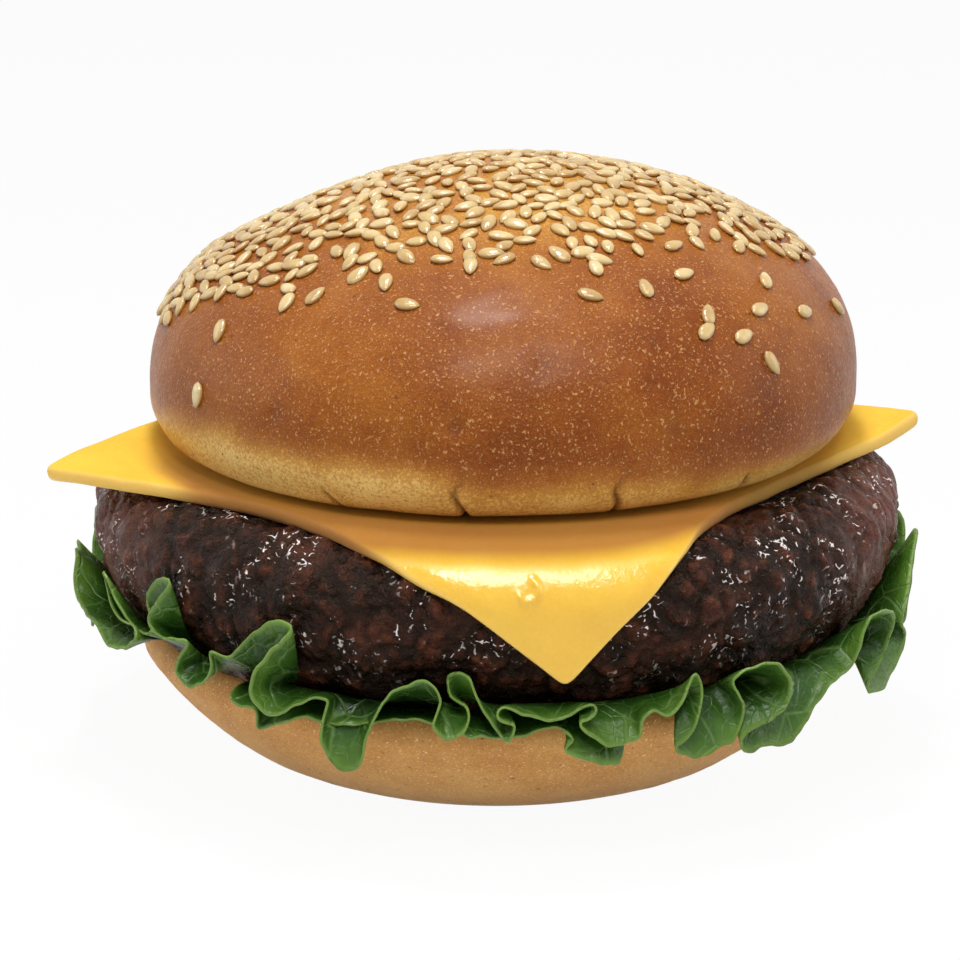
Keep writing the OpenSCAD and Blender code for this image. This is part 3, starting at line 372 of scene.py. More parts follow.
def patty_material(name="mince_brown"):
    paint = Paint(name)
    place = paint.bent(6, 3)
    crumb_tone = paint.level(paint.cells(3.2, place=place), 0.0, 0.9, 0.54, 0.24)
    fibres = paint.noise(1.5, 4, 0.7, place)
    depth = paint.plus(crumb_tone, paint.level(fibres, 0.25, 0.75, -0.3, 0.3))
    # Darker in the pits between the crumbs: painted shade
    depth = paint.maths("SUBTRACT", depth, paint.times(paint.attribute("pit"), 0.55))
    paint.ramp(depth, [
        (0.0, (22, 9, 5)), (0.28, (58, 27, 15)), (0.55, (94, 49, 30)),
        (0.8, (126, 73, 50)), (1.0, (160, 106, 80)),
    ])
    patches = paint.noise_level(11, 3, 0.6, 0.52, 0.7)
    paint.dab(paint.times(patches, 0.3), (112, 66, 50))
    fat = paint.level(paint.noise(2.0, 2, 0.5, stretch=(1.0, 1.0, 0.45)), 0.7, 0.78)
    paint.dab(paint.times(fat, 0.5), (176, 140, 130))
    # Lighter at the left and right ends: painted light of the grazing sides
    painted_side_light = paint.level(paint.maths("ABSOLUTE", paint.along("X")), 0.05, 0.062, 0.0, 0.36)
    paint.dab(painted_side_light, (150, 94, 80))
    # Painted highlights: short white glints in clusters on the upper, lit part of the side
    across = paint.maths("ABSOLUTE", paint.maths("SUBTRACT", paint.noise(1.7, 1, 0.5), 0.5))
    painted_glints = paint.level(across, 0.02, 0.04, 1.0, 0.0)
    broken = paint.level(paint.noise(0.9, 1, 0.5, paint.bent(1.4, 1.2)), 0.54, 0.6)
    clusters = paint.noise_level(7, 2, 0.5, 0.5, 0.6)
    lit = paint.level(paint.along("Z"), 0.026, 0.038)
    painted_glints = paint.times(paint.times(painted_glints, broken), paint.times(clusters, lit))
    paint.dab(painted_glints, (250, 240, 236))
    paint.bump(paint.noise(0.6, 2, 0.6), 0.4)
    paint.bump(fibres, 0.6)
    paint.bump(paint.cells(1.6, place=place), 0.3)
    rough = paint.noise_level(2.4, 3, 0.6, 0.35, 0.65, 0.12, 0.45)
    return paint.finish(rough, Specular_IOR_Level=0.16, Specular_Tint=colour(255, 226, 204))


def leaf_material():
    paint = Paint("lettuce_green")
    wave = paint.noise_level(9, 3, 0.5, 0.25, 0.75, -0.16, 0.16)
    # Darker towards the root under the patty: painted shade
    paint.ramp(paint.plus(wave, paint.attribute("out")), [
        (0.0, (8, 16, 4)), (0.45, (18, 38, 10)), (0.7, (38, 70, 20)),
        (0.88, (60, 100, 30)), (1.0, (96, 134, 50)),
    ])
    place = paint.bent(7, 3)
    veins = paint.level(paint.cells(8, "DISTANCE_TO_EDGE", place), 0.0, 0.04, 1.0, 0.0)
    twigs = paint.level(paint.cells(3, "DISTANCE_TO_EDGE", place), 0.0, 0.05, 0.35, 0.0)
    veins = paint.maths("MAXIMUM", veins, twigs)
    paint.dab(paint.times(veins, 0.6), (124, 160, 84))
    paint.dab(paint.times(paint.attribute("rim"), 0.5), (158, 190, 92))
    paint.bump(paint.noise(0.7, 2, 0.5), 0.06)
    paint.bump(veins, -0.16)
    paint.bump(paint.noise(3.2, 3, 0.5), 0.6)
    paint.finish(paint.noise_level(3, 2, 0.5, 0.35, 0.65, 0.24, 0.42), Specular_IOR_Level=0.36)
    shine = {"Color": paint.mix(0.5, (126, 176, 44)), "Normal": paint.normal}
    paint.blend(0.24, paint.add("ShaderNodeBsdfTranslucent", shine))
    return paint.material


def plastic(name, tone, roughness, grain=0.6, depth=0.02, **constants):
    """Moulded plastic with a fine grain, faint flow marks and handling."""
    paint = Paint(name)
    darker = tuple(0.9 * value for value in tone)
    paint.ramp(paint.noise(14, 4, 0.6), [(0.3, darker), (0.7, tone)])
    worn = paint.noise_level(5, 4, 0.65, 0.35, 0.65, roughness - 0.06, roughness + 0.08)
    paint.bump(paint.noise(grain, 2, 0.5), depth)
    return paint.finish(worn, **constants)


def metal(name, tone, roughness):
    """Plated metal with fine brushing."""
    paint = Paint(name)
    brushed = paint.noise(1.2, 3, 0.6, stretch=(0.15, 1.0, 1.0))
    darker = tuple(0.82 * value for value in tone)
    paint.ramp(brushed, [(0.3, darker), (0.7, tone)])
    rough = paint.level(brushed, 0.3, 0.7, roughness - 0.05, roughness + 0.1)
    paint.bump(brushed, 0.01)
    return paint.finish(rough, Metallic=1.0)


def board_material():
    """Green circuit board with copper tracks under the mask."""
    paint = Paint("board_green")
    tracks = paint.level(paint.cells(4, "DISTANCE_TO_EDGE"), 0.06, 0.09)
    paint.base = colour(70, 140, 78)
    paint.dab(tracks, (26, 92, 52))
    paint.bump(tracks, -0.03)
    return paint.finish(0.32)


# Slots in plain plastic or rubber and in metal: display colour, roughness, and what else differs
PLASTICS = {
    "cream_plastic": ((240, 228, 200), 0.4, {}),
    "plunger_cream": ((232, 218, 186), 0.36, {}),
    "slider_cream": ((232, 218, 186), 0.36, {}),
    "key_cream": ((246, 238, 216), 0.34, {"Coat_Weight": 0.15}),
    "key_red": ((176, 44, 34), 0.34, {"Coat_Weight": 0.15}),
    "mat_rubber": ((120, 120, 118), 0.7, {"grain": 0.4, "depth": 0.03}),
    "foot_rubber": ((42, 38, 36), 0.75, {"grain": 0.4, "depth": 0.04}),
    "receiver_black": ((34, 34, 36), 0.4, {}),
    "switch_black": ((30, 30, 32), 0.42, {}),
    "jack_black": ((36, 34, 34), 0.4, {}),
    "inner_plastic": ((206, 192, 164), 0.5, {}),
    "lead_red": ((186, 40, 34), 0.36, {}),
}
METALS = {
    "screw_steel": ((196, 196, 198), 0.3),
    "pin_steel": ((206, 206, 208), 0.24),
    "plate_steel": ((150, 150, 152), 0.42),
    "ringer_brass": ((206, 168, 92), 0.3),
    "capsule_metal": ((186, 186, 190), 0.3),
}


def make_cad_materials():
    """One finish for each material slot of the record, given to the CAD nodes that show."""
    made = {
        "heel_bun": heel_material("heel_bun_skin"),
        "crown_bun": heel_material("crown_bun_skin"),
        "seed_cream": seed_material(),
        "patty_brown": patty_material("patty_shell_brown"),
        "cheese_yellow": plastic("cheese_shell_yellow", (244, 176, 30), 0.35),
        "leaf_green": plastic("leaf_shell_green", (60, 108, 30), 0.4),
        "board_green": board_material(),
    }
    for name, (tone, roughness, rest) in PLASTICS.items():
        made[name] = plastic(name, tone, roughness, **rest)
    for name, (tone, roughness) in METALS.items():
        made[name] = metal(name, tone, roughness)
    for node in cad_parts.values():
        for holder in node.material_slots:
            slot = next((s for s in made if holder.material and holder.material.name.startswith(s)), None)
            if slot:
                holder.material = made[slot]


# ---- mesh helpers


def add_piece(name, mesh, material, body):
    mesh.materials.append(material)
    mesh.shade_smooth()
    piece = new_object(name, mesh)
    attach(piece, body)
    return piece


def grid_faces(rows, cols, wrap_rows, wrap_cols, first=0):
    """Quads over a grid of points that are numbered row by row."""
    i = np.arange(rows if wrap_rows else rows - 1)
    j = np.arange(cols if wrap_cols else cols - 1)
    i, j = np.meshgrid(i, j, indexing="ij")
    up, along = (i + 1) % rows, (j + 1) % cols
    quads = np.stack([i * cols + j, i * cols + along, up * cols + along, up * cols + j], -1)
    return (quads.reshape(-1, 4) + first).tolist()


def mesh_of(name, points, faces, **values):
    """Mesh of points in millimetres, with a value of each attribute at each point."""
    mesh = bpy.data.meshes.new(name)
    mesh.from_pydata((np.asarray(points).reshape(-1, 3) * MM).tolist(), [], faces)
    mesh.update()
    for key, numbers in values.items():
        attribute = mesh.attributes.new(key, "FLOAT", "POINT")
        attribute.data.foreach_set("value", np.asarray(numbers, np.float32).ravel())
    return mesh


def tube_of(name, points, **values):
    """Mesh of a grid of points that closes both ways."""
    return mesh_of(name, points, grid_faces(*points.shape[:2], True, True), **values)


def lumps(points, size, shift):
    """Smooth noise from -1 to 1 at each point, with lumps of a size in millimetres."""
    flat = points.reshape(-1, 3) / size + shift
    return np.array([noise.noise(p) for p in flat.tolist()]).reshape(points.shape[:-1])


def crumbs(points, size, shift):
    """Round crumbs: 1 on their middles, falling to 0 between them."""
    flat = points.reshape(-1, 3) / size + shift
    near = np.array([noise.voronoi(p)[0][:2] for p in flat.tolist()])
    edge = np.clip((near[:, 1] - near[:, 0]) / 0.55, 0, 1)
    return (edge * (2 - edge)).reshape(points.shape[:-1])


def smooth(low, high, values):
    t = np.clip((np.asarray(values, float) - low) / (high - low), 0, 1)
    return t * t * (3 - 2 * t)


def arc(centre, radius, start, end, count):
    """Points of an arc as (r, z), angles in degrees from the r axis."""
    angles = np.radians(np.linspace(start, end, count))
    return np.stack([centre[0] + radius * np.cos(angles), centre[1] + radius * np.sin(angles)], -1)


def outline_normals(outline):
    """Outward normals of an outline that runs with the body on its right."""
    along = np.gradient(outline, axis=0)
    along /= np.linalg.norm(along, axis=1)[:, None] + 1e-9
    return np.stack([-along[:, 1], along[:, 0]], -1)


def polar(r, turns, z):
    """Points at a distance from the stack axis, a turn in degrees and a height."""
    a = np.radians(turns)
    return np.stack([r * np.cos(a), r * np.sin(a), z + 0 * a], -1)


def turned(outline, turns):
    """Grid of points of an outline (r, z) at each turn."""
    return polar(outline[:, :1], turns[None, :], outline[:, 1:])


def from_axis(points):
    """Distance of each point from the stack axis."""
    return np.hypot(points[..., 0], points[..., 1])


def turn_of(points):
    """Turn of each point about the stack axis, in degrees from +X."""
    return np.degrees(np.arctan2(points[..., 1], points[..., 0]))


def real_mesh(holder):
    """Mesh of an object as its modifiers or its letters make it."""
    bpy.context.view_layer.update()
    graph = bpy.context.evaluated_depsgraph_get()
    return bpy.data.meshes.new_from_object(
        holder.evaluated_get(graph), preserve_all_data_layers=True, depsgraph=graph)


def cut_box(piece, low, high):
    """Cuts a box, given by its corners in millimetres, out of a closed piece."""
    maker = bmesh.new()
    bmesh.ops.create_cube(maker, size=1.0)
    low, high = Vector(low) * MM, Vector(high) * MM
    for vertex in maker.verts:
        vertex.co = [(low[k] + high[k]) / 2 + vertex.co[k] * (high[k] - low[k]) for k in range(3)]
    mesh = bpy.data.meshes.new("cutter")
    maker.to_mesh(mesh)
    maker.free()
    cutter = new_object("cutter", mesh)
    boolean = piece.modifiers.new("cut", "BOOLEAN")
    boolean.operation = "DIFFERENCE"
    boolean.solver = "EXACT"
    boolean.object = cutter
    cut = real_mesh(piece)
    piece.modifiers.clear()
    piece.data = cut
    bpy.data.objects.remove(cutter)


# ---- crown

SIDE_X = CROWN_R - SIDE_R
RISE = CROWN_TOP - BELLY_Z
TOP_R = (SIDE_X ** 2 + RISE ** 2 - SIDE_R ** 2) / (2 * (RISE - SIDE_R))
TOP_C = CROWN_TOP - TOP_R
MEET = math.degrees(math.asin(SIDE_X / (TOP_R - SIDE_R)))
RIM_R = CROWN_R - EDGE_R
CROWN_WALL = 2.4
CROWN_LEAN = math.radians(1.2)
CROWN_SHIFT = 1.0
# Room in the crown's back for the hinge: half width, inner and outer end, and rise over the pin
HINGE_ROOM = (8.3, 40, 70, 4.1)

# Creases up from the rim: turn, top, half width
CREASE_FOOT = 50.5
CREASES = [(-96.6, 62.0, 0.5), (-71.8, 60.5, 0.55), (-118.0, 56.5, 0.4), (-48.0, 56.0, 0.4)]
# Pits in the crust: turn, height, radius, depth
PITS = [(-97.5, 67, 1.7, 0.7), (-63.3, 64.5, 2, 0.55), (-84, 75.5, 2.2, 0.35), (-128, 66, 1.4, 0.3)]


def dome(lean):
    """(r, z) on the outer dome where its surface leans by that many degrees."""
    if lean < MEET:
        return TOP_R * sine(lean), TOP_C + TOP_R * cosine(lean)
    return SIDE_X + SIDE_R * sine(lean), BELLY_Z + SIDE_R * cosine(lean)


def crease_at(points, turn, width):
    """1 in the middle of a wavy crease at a turn, falling to 0 beside it."""
    off = (turn_of(points) - turn + 1.2 * np.sin(points[..., 2] * 0.7)) * math.radians(CROWN_R)
    return np.exp(-(off / width) ** 2)


def pit_at(points, turn, height, spread):
    """1 in the middle of a pit, falling to 0 round it."""
    off = (turn_of(points) - turn) * math.radians(CROWN_R)
    return np.exp(-(off ** 2 + (points[..., 2] - height) ** 2) / spread)


def shape_crown(points, normals):
    """Places of outer crown points after the unevenness, lean and shift of the baked bun."""
    z = points[..., 2]
    push = 0.45 * lumps(points, 30, 3.1) + 0.22 * lumps(points, 13, 8.7) + 0.07 * lumps(points, 4.5, 1.3)
    push -= 1.1 * np.exp(-((points[..., 0] + 30) / 20) ** 2 - ((z - 84) / 12) ** 2)
    foot = smooth(CREASE_FOOT - 2, CREASE_FOOT, z)
    for turn, high, width in CREASES:
        push -= 0.75 * crease_at(points, turn, width) * smooth(high, CREASE_FOOT + 3, z) * foot
    for turn, height, radius, depth in PITS:
        push -= depth * pit_at(points, turn, height, radius ** 2)
    moved = points + normals * push[..., None]
    lean = smooth(CROWN_Z, CROWN_Z + 4, z)
    moved[..., 0] += CROWN_SHIFT * lean
    lean *= 0.5 + 0.5 * smooth(50, 30, from_axis(points))
    moved[..., 2] += math.tan(CROWN_LEAN) * moved[..., 0] * lean
    return moved


def crown_tone(points):
    """How dark the crust is, from 0 to 1: random baked tone and a pale lower crust, with painted shade on
    the front right, painted light on the top, and the lower crust painted paler against the shade under the
    belly.
    """
    turns = turn_of(points)
    z = points[..., 2]
    tone = 0.62 + 0.13 * lumps(points, 24, 5.5) + 0.07 * lumps(points, 9, 2.2)
    # Painted shade on the front right, half way up
    tone += 0.1 * np.exp(-((turns + 60) / 45) ** 2) * smooth(52, 60, z) * smooth(92, 70, z)
    # Painted light on the top
    tone -= 0.26 * smooth(42, 22, from_axis(points)) * smooth(80, 88, z)
    # The pale lower crust, higher on the left, painted paler still against the shade under the belly
    left = np.exp(-((turns + 135) / 42) ** 2)
    pale_top = 55.5 + 5.0 * left + 1.8 * lumps(points, 10, 7.7)
    tone -= 0.5 * smooth(pale_top + 4.5, pale_top - 2, z)
    return np.clip(tone, 0, 1)


def crease_and_pit_shade(points):
    """How much painted shade darkens the crust in its creases and pits, from 0 to 0.9."""
    z = points[..., 2]
    dark = np.zeros(z.shape)
    for turn, high, width in CREASES:
        dark += 0.85 * crease_at(points, turn, width) * smooth(high, CREASE_FOOT + 4, z)
    for turn, height, radius, depth in PITS:
        dark += 0.7 * depth * pit_at(points, turn, height - 0.4, 0.5 * radius ** 2)
    return np.clip(dark, 0, 0.9)


def make_crown():
    turns = np.linspace(-180, 180, 720, endpoint=False)
    outer = np.concatenate([
        arc((0, TOP_C), TOP_R, 89.7, 90 - MEET, 64)[:-1],
        arc((SIDE_X, BELLY_Z), SIDE_R, 90 - MEET, 0, 60),
        arc((RIM_R, CROWN_Z + EDGE_R), EDGE_R, -4, -90, 34),
    ])
    inner = np.concatenate([
        [[COLLAR_R, CROWN_Z], [COLLAR_R, COLLAR_TOP], [RIM_R, COLLAR_TOP], [RIM_R + 4, COLLAR_TOP + 1]],
        arc((SIDE_X, BELLY_Z), SIDE_R - CROWN_WALL, 0, 90 - MEET, 10),
        arc((0, TOP_C), TOP_R - CROWN_WALL, 90 - MEET, 89.5, 8)[1:],
    ])
    grid = turned(outer, turns)
    shaped = shape_crown(grid, turned(outline_normals(outer), turns))
    points = np.concatenate([shaped, turned(inner, turns)])
    rows, count = points.shape[:2]
    faces = grid_faces(rows, count, False, True)
    top, under, last = rows * count, rows * count + 1, (rows - 1) * count
    caps = np.array([[CROWN_SHIFT, 0, CROWN_TOP], [0, 0, CROWN_TOP - CROWN_WALL]])
    faces += [(top, (j + 1) % count, j) for j in range(count)]
    faces += [(under, last + j, last + (j + 1) % count) for j in range(count)]
    inside = len(inner) * count
    mesh = mesh_of(
        "crown_bun", np.concatenate([points.reshape(-1, 3), caps]), faces,
        tone=np.concatenate([crown_tone(grid).ravel(), np.full(inside, 0.45), [0.4, 0.45]]),
        crease=np.append(crease_and_pit_shade(grid), np.zeros(inside + 2)))
    piece = add_piece("crown_bun", mesh, crown_material(), "lid")
    half, near, far, rise = HINGE_ROOM
    cut_box(piece, (-half, near, CROWN_Z - 3), (half, far, HINGE_Z + rise))
    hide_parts("crown_shell")


# ---- seeds

SEED_LONG = 4.0
SEED_WIDE = 2.2
SEED_THICK = 1.1
# How far a seed's middle lies over the crust, tries and most seeds of the thick cover, and its largest lean
SEED_LIFT = 0.36
SEED_TRIES = 14000
SEED_MOST = 760
LEAN_MOST = 66

# How far down the dome the thick cover of seeds reaches: turn, lean
SEED_REACH = [
    (-180, 64), (-165, 56), (-150, 40), (-138, 27), (-120, 23), (-90, 22), (-60, 22), (-35, 24), (-15, 30),
    (5, 42), (50, 44), (100, 46), (150, 56), (180, 64),
]
# Single seeds below it: turn, lean, way
STRAYS = [
    (-168, 62, 80), (-146, 55, 22), (-146, 80, 4), (-135, 36, 10), (-130, 31, 170), (-116, 28, 20),
    (-109, 31, 85), (-98, 25, 5), (-69, 26, 175), (-73, 30, 60), (-61, 30, 170), (-50, 29, 95),
    (-52, 43, 150), (-54, 49, 120), (-47, 54, 100), (-40, 46, 95), (-32, 36, 130), (-28, 53, 80),
    (-43, 66, 20), (-12, 60, 40), (12, 66, 120), (40, 62, 10), (66, 58, 75), (95, 70, 140), (120, 62, 30),
    (148, 72, 100),
]


def seed_shape():
    """One seed lying along X with its point ahead, and how near each of its points is to its rim."""
    rows, cols = 9, 12
    points, rims = [], []
    for i in range(rows + 1):
        share = i / rows
        wide = math.sin(math.pi * share ** 0.82) ** 0.62 if 0 < share < 1 else 0.02
        ahead = SEED_LONG * (share - 0.5)
        for j in range(cols):
            a = 2 * math.pi * j / cols
            thin = abs(math.sin(a)) ** 0.8 * math.copysign(1, math.sin(a))
            points.append((ahead, SEED_WIDE / 2 * wide * math.cos(a), SEED_THICK / 2 * wide ** 0.8 * thin))
            rims.append(max(abs(math.cos(a)) ** 6, 1 - 4 * share, 4 * share - 3))
    faces = grid_faces(rows + 1, cols, False, True)
    faces += [tuple(range(cols))[::-1], tuple(rows * cols + k for k in range(cols))]
    return np.array(points), np.clip(rims, 0, 1), faces


def seed_places():
    """Seeds of the thick cover, spread at random with a least distance, and the single ones."""
    draw = random.Random(12)
    cap = 1 - cosine(LEAN_MOST)
    places, kept = [], []
    for _ in range(SEED_TRIES):
        turn = draw.uniform(-180, 180)
        lean = math.degrees(math.acos(1 - draw.random() * cap))
        way = draw.uniform(0, 360)
        reach = np.interp(turn, *zip(*SEED_REACH)) + draw.gauss(0, 2.2)
        if lean > reach or len(places) > SEED_MOST:
            continue
        r, z = dome(lean)
        spot = np.array([r * cosine(turn), r * sine(turn), z])
        least = 2.1 + 1.6 * max(0.0, lean / reach - 0.75) + draw.uniform(0, 0.5)
        if all(np.linalg.norm(spot - other) > least for other in kept):
            kept.append(spot)
            size, roll, pitch = draw.uniform(0.86, 1.12), draw.uniform(-9, 9), draw.uniform(-6, 6)
            places.append((turn, lean, way, size, roll, pitch))
    return places + [(*stray, 1.05, 0, 0) for stray in STRAYS]


def make_seeds():
    shape, rims, faces = seed_shape()
    spots, outs, turnings = [], [], []
    places = seed_places()
    for turn, lean, way, *_ in places:
        r, z = dome(lean)
        east, north = cosine(turn), sine(turn)
        out = Vector((sine(lean) * east, sine(lean) * north, cosine(lean)))
        spots.append((r * east, r * north, z))
        outs.append(tuple(out))
        down = Vector((cosine(lean) * east, cosine(lean) * north, -sine(lean)))
        ahead = down * cosine(way) + out.cross(down) * sine(way)
        turnings.append([np.array(v) for v in (ahead, out.cross(ahead), out)])
    seated = shape_crown(np.array(spots), np.array(outs))
    all_points, all_faces = [], []
    for (*_, size, roll, pitch), spot, (ahead, side, out) in zip(places, seated, turnings):
        local = shape * size
        lift = SEED_LIFT + local[:, 2] + math.tan(math.radians(pitch)) * local[:, 0]
        lift += math.tan(math.radians(roll)) * local[:, 1]
        first = len(all_points) * len(shape)
        all_points.append(spot + local[:, :1] * ahead + local[:, 1:2] * side + lift[:, None] * out)
        all_faces += [tuple(first + k for k in face) for face in faces]
    points = np.concatenate(all_points)
    # The rim value marks the seeds' toasted edges and their painted contact shade
    mesh = mesh_of("sesame_topping", points, all_faces, rim=np.tile(rims, len(places)) * 0.45)
    piece = add_piece("sesame_topping", mesh, seed_material(), "lid")
    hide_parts("sesame_seeds")


# ---- cheese

# Half side, turn and middle of the square slice, its thickness, the radius of its hole, and the power that
# rounds its corners: the larger, the sharper
SLICE_HALF = 51.0
SLICE_TURN = -35.2
SLICE_CENTRE = (-1.0, -4.0)
SLICE_THICK = 2.6
SLICE_HOLE_R = 43.3
SLICE_POWER = 60
# Where the slice bends over the patty's shoulder, the radius of its middle there, and its steepest lean
BEND_START = PATTY_R - SHOULDER_R
BEND_R = SHOULDER_R + SLICE_THICK / 2
BEND_MOST = 88
# Half width and depth from the axis of the notch for the hinge
NOTCH_X = 16.8
NOTCH_Y = 55.5
# Air bubble in the hanging corner, seen from the front: middle (x, z), radius, breadth of its ridge
BUBBLE = (4.4, 44.6)
BUBBLE_R = 1.5
BUBBLE_RIDGE = 0.4
# The painted shade of the crown on the slice's front ends at this distance from the axis, further out in the
# middle
SHADE_R = 60.5
SHADE_MORE = 3.6

# How much longer the slice has sagged, in millimetres, and how closely it follows the shoulder: turn, value
SAG = [
    (-180, 0), (-130, 0), (-120, 1.8), (-110, 4.0), (-100, 5.6), (-90, 5.6), (-82, 5.4), (-70, 5.0),
    (-60, 1.8), (-50, 0), (180, 0),
]
DRAPE = [
    (-180, 0.1), (-165, 0.1), (-150, 0.2), (-136, 0.5), (-122, 1.0), (-58, 1.0), (-45, 0.8), (-30, 0.45),
    (-10, 0.08), (4, -0.1), (12, -0.12), (30, 0.1), (60, 0.35), (150, 0.3), (180, 0.1),
]


def slice_reach(turns):
    """Distance from the axis to the slice's edge while it is flat."""
    a = np.radians(turns)
    ahead, aside = cosine(SLICE_TURN), sine(SLICE_TURN)
    low, high = np.full(len(turns), SLICE_HOLE_R), np.full(len(turns), 90.0)
    for _ in range(40):
        mid = (low + high) / 2
        x, y = mid * np.cos(a) - SLICE_CENTRE[0], mid * np.sin(a) - SLICE_CENTRE[1]
        u = np.abs(x * ahead + y * aside) / SLICE_HALF
        v = np.abs(-x * aside + y * ahead) / SLICE_HALF
        within = (u ** SLICE_POWER + v ** SLICE_POWER) < 1
        low, high = np.where(within, mid, low), np.where(within, high, mid)
    return low


def bend(reach, drape):
    """(r, z, lean) of the slice's middle after a way over the shoulder."""
    over = np.maximum(0, reach - BEND_START)
    drape = np.where(np.abs(drape) < 0.02, 0.02, drape)
    angle = over / BEND_R * drape
    full = np.minimum(angle, np.radians(BEND_MOST))
    radius = BEND_R / drape
    rest = np.maximum(0, (angle - full) * radius)
    r = np.minimum(reach, BEND_START) + radius * np.sin(full) + rest * np.cos(full)
    z = CHEESE_TOP - SLICE_THICK / 2 - radius * (1 - np.cos(full)) - rest * np.sin(full)
    return r, z, full


def around(turns, rows):
    """Values at each turn between rows of (turn, value), without kinks."""
    values = np.interp(turns, *zip(*rows))
    kernel = np.hanning(25)
    wrapped = np.concatenate([values[-12:], values, values[:12]])
    return np.convolve(wrapped, kernel / kernel.sum(), "valid")


def slice_paint(points):
    """How much painted shade and how dull the slice is: dull where it lies flat, with a little painted shade
    there, and painted shade and a painted brown reflection of the crown on the front, where the crown shades
    it.
    """
    far = from_axis(points)
    ahead = -np.sin(np.radians(turn_of(points)))
    dull = smooth(46.6, 48.6, points[..., 2] + 0.4 * lumps(points, 6, 3.3))
    edge = SHADE_R + SHADE_MORE * smooth(0.8, 0.96, ahead)
    shade = smooth(0.1, 0.6, ahead) * smooth(edge, edge - 3.5, far) * smooth(49, 55.5, far)
    # Painted shade: the crown's shadow and brown reflection on the slice's front, and a little over its flat
    # top
    return 0.1 * dull + 0.74 * shade, dull


def blow_bubble(skin):
    """Raises the open ring of an air bubble on the front of the slice's upper side."""
    off_x, off_z = skin[..., 0] - BUBBLE[0], skin[..., 2] - BUBBLE[1]
    turn = np.degrees(np.arctan2(off_z, off_x))
    ridge = np.exp(-((np.hypot(off_x, off_z) - BUBBLE_R) / BUBBLE_RIDGE) ** 2)
    ridge *= smooth(150, 100, np.abs(turn + 40)) * (skin[..., 1] < -50)
    skin[..., 1] -= 0.45 * ridge
    skin[..., 2] += 0.25 * ridge


def make_cheese():
    turns = np.concatenate([np.arange(-180, -135, 0.5), np.arange(-135, -45, 0.2), np.arange(-45, 180, 0.5)])
    drape = around(turns, DRAPE)
    reach = slice_reach(turns) + around(turns, SAG)
    a = np.radians(turns)
    notch = (np.abs(reach * np.cos(a)) < NOTCH_X) & (np.sin(a) > 0.7)
    reach = np.where(notch, NOTCH_Y / np.maximum(np.sin(a), 0.7), reach)
    reach += 0.25 * np.array([noise.noise((t / 7, 0, 4)) for t in turns]) * (~notch)

    # Sections from the hole out over the top, round the cut edge and back below: share of the way out,
    # share of half the thickness up, and share out
    steps = np.linspace(0, 1, 64)
    half = SLICE_THICK / 2
    sections = [(q, 1.0, 0.0) for q in steps]
    sections += [(1.0, math.cos(b), math.sin(b)) for b in np.radians([25, 50, 75, 105, 130, 155])]
    sections += [(q, -1.0, 0.0) for q in steps[::-4]]
    sections += [(0.0, -1.0, 0.0), (0.0, 0.0, -0.12)]
    points = np.zeros((len(sections), len(turns), 3))
    rims = np.zeros((len(sections), len(turns)))
    for row, (q, up, out) in enumerate(sections):
        way = SLICE_HOLE_R + half * 0.2 + q * (reach - half * 0.6 - SLICE_HOLE_R)
        r, z, lean = bend(way, drape)
        thick = half * (1 - 0.12 * smooth(0.9, 1.0, q))
        r = r + thick * (up * np.sin(lean) + out * 0.6 * np.cos(lean))
        z = z + thick * (up * np.cos(lean) - out * 0.6 * np.sin(lean))
        points[row] = polar(r, turns, z)
        rims[row] = 0.85 * (abs(out) > 0) * (q == 1.0) + 0.2 * (q > 0.985)
    # tan carries the painted shade and painted reflection of the crown on the slice's front, and a little
    # painted shade over its flat top
    tan, dull = slice_paint(points)
    spread = smooth(BEND_START - 1, BEND_START + 8, from_axis(points))
    points[..., 2] += 0.35 * spread * lumps(points, 14, 6.1) + 0.12 * spread * lumps(points, 5, 2.5)
    blow_bubble(points[: len(steps)])
    mesh = tube_of("cheese_sheet", points, rim=rims, tan=tan, dull=dull)
    piece = add_piece("cheese_sheet", mesh, cheese_material(), "base")
    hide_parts("cheese_slice")


# ---- patty

# Least height of the crust over the shell, and how far its inner side lies within it
CRUST_LEAST = 0.06
CRUST_WALL = 0.5
# Room for the line jack: gap round it, and its inner and outer end
JACK_ROOM = (0.45, 50, 75)

# Browned lumps on the side: radius of their round top, greatest rise, number in a row, leans of the side at
# the rows, half width, the turn from the back that stays free of them, and the slice's tip (x, z) over them
LUMP_R = 6.4
LUMP_RISE = 1.1
LUMP_COUNT = 30
LUMP_LEANS = (-42, -14, 16)
LUMP_W = 5.6
LUMP_REAR = 22
TIP = (10.6, 30.4)


def lump_spheres():
    """Middles of the round tops of the browned lumps."""
    middles = []
    for row, lean in enumerate(LUMP_LEANS):
        bend_r = LOW_R if lean < 0 else SHOULDER_R
        up, out = sine(lean), cosine(lean)
        r, z = PATTY_R - bend_r * (1 - out), SHOULDER_Z + bend_r * up
        for k in range(LUMP_COUNT):
            wander = 0.12 * sine(137 * k + 50 * row)
            a = 2 * math.pi * (k + row / 2 + wander) / LUMP_COUNT
            flap = 1.4 * max(0.0, z + LUMP_W - TIP[1]) + LUMP_W
            if math.sin(a) > cosine(LUMP_REAR):
                continue
            if math.sin(a) < 0 and abs(r * math.cos(a) - TIP[0]) < flap:
                continue
            sink = LUMP_R - LUMP_RISE * (0.8 + 0.2 * sine(97 * k + 40 * row))
            middles.append(((r - sink * out) * math.cos(a), (r - sink * out) * math.sin(a), z - sink * up))
    return np.array(middles)


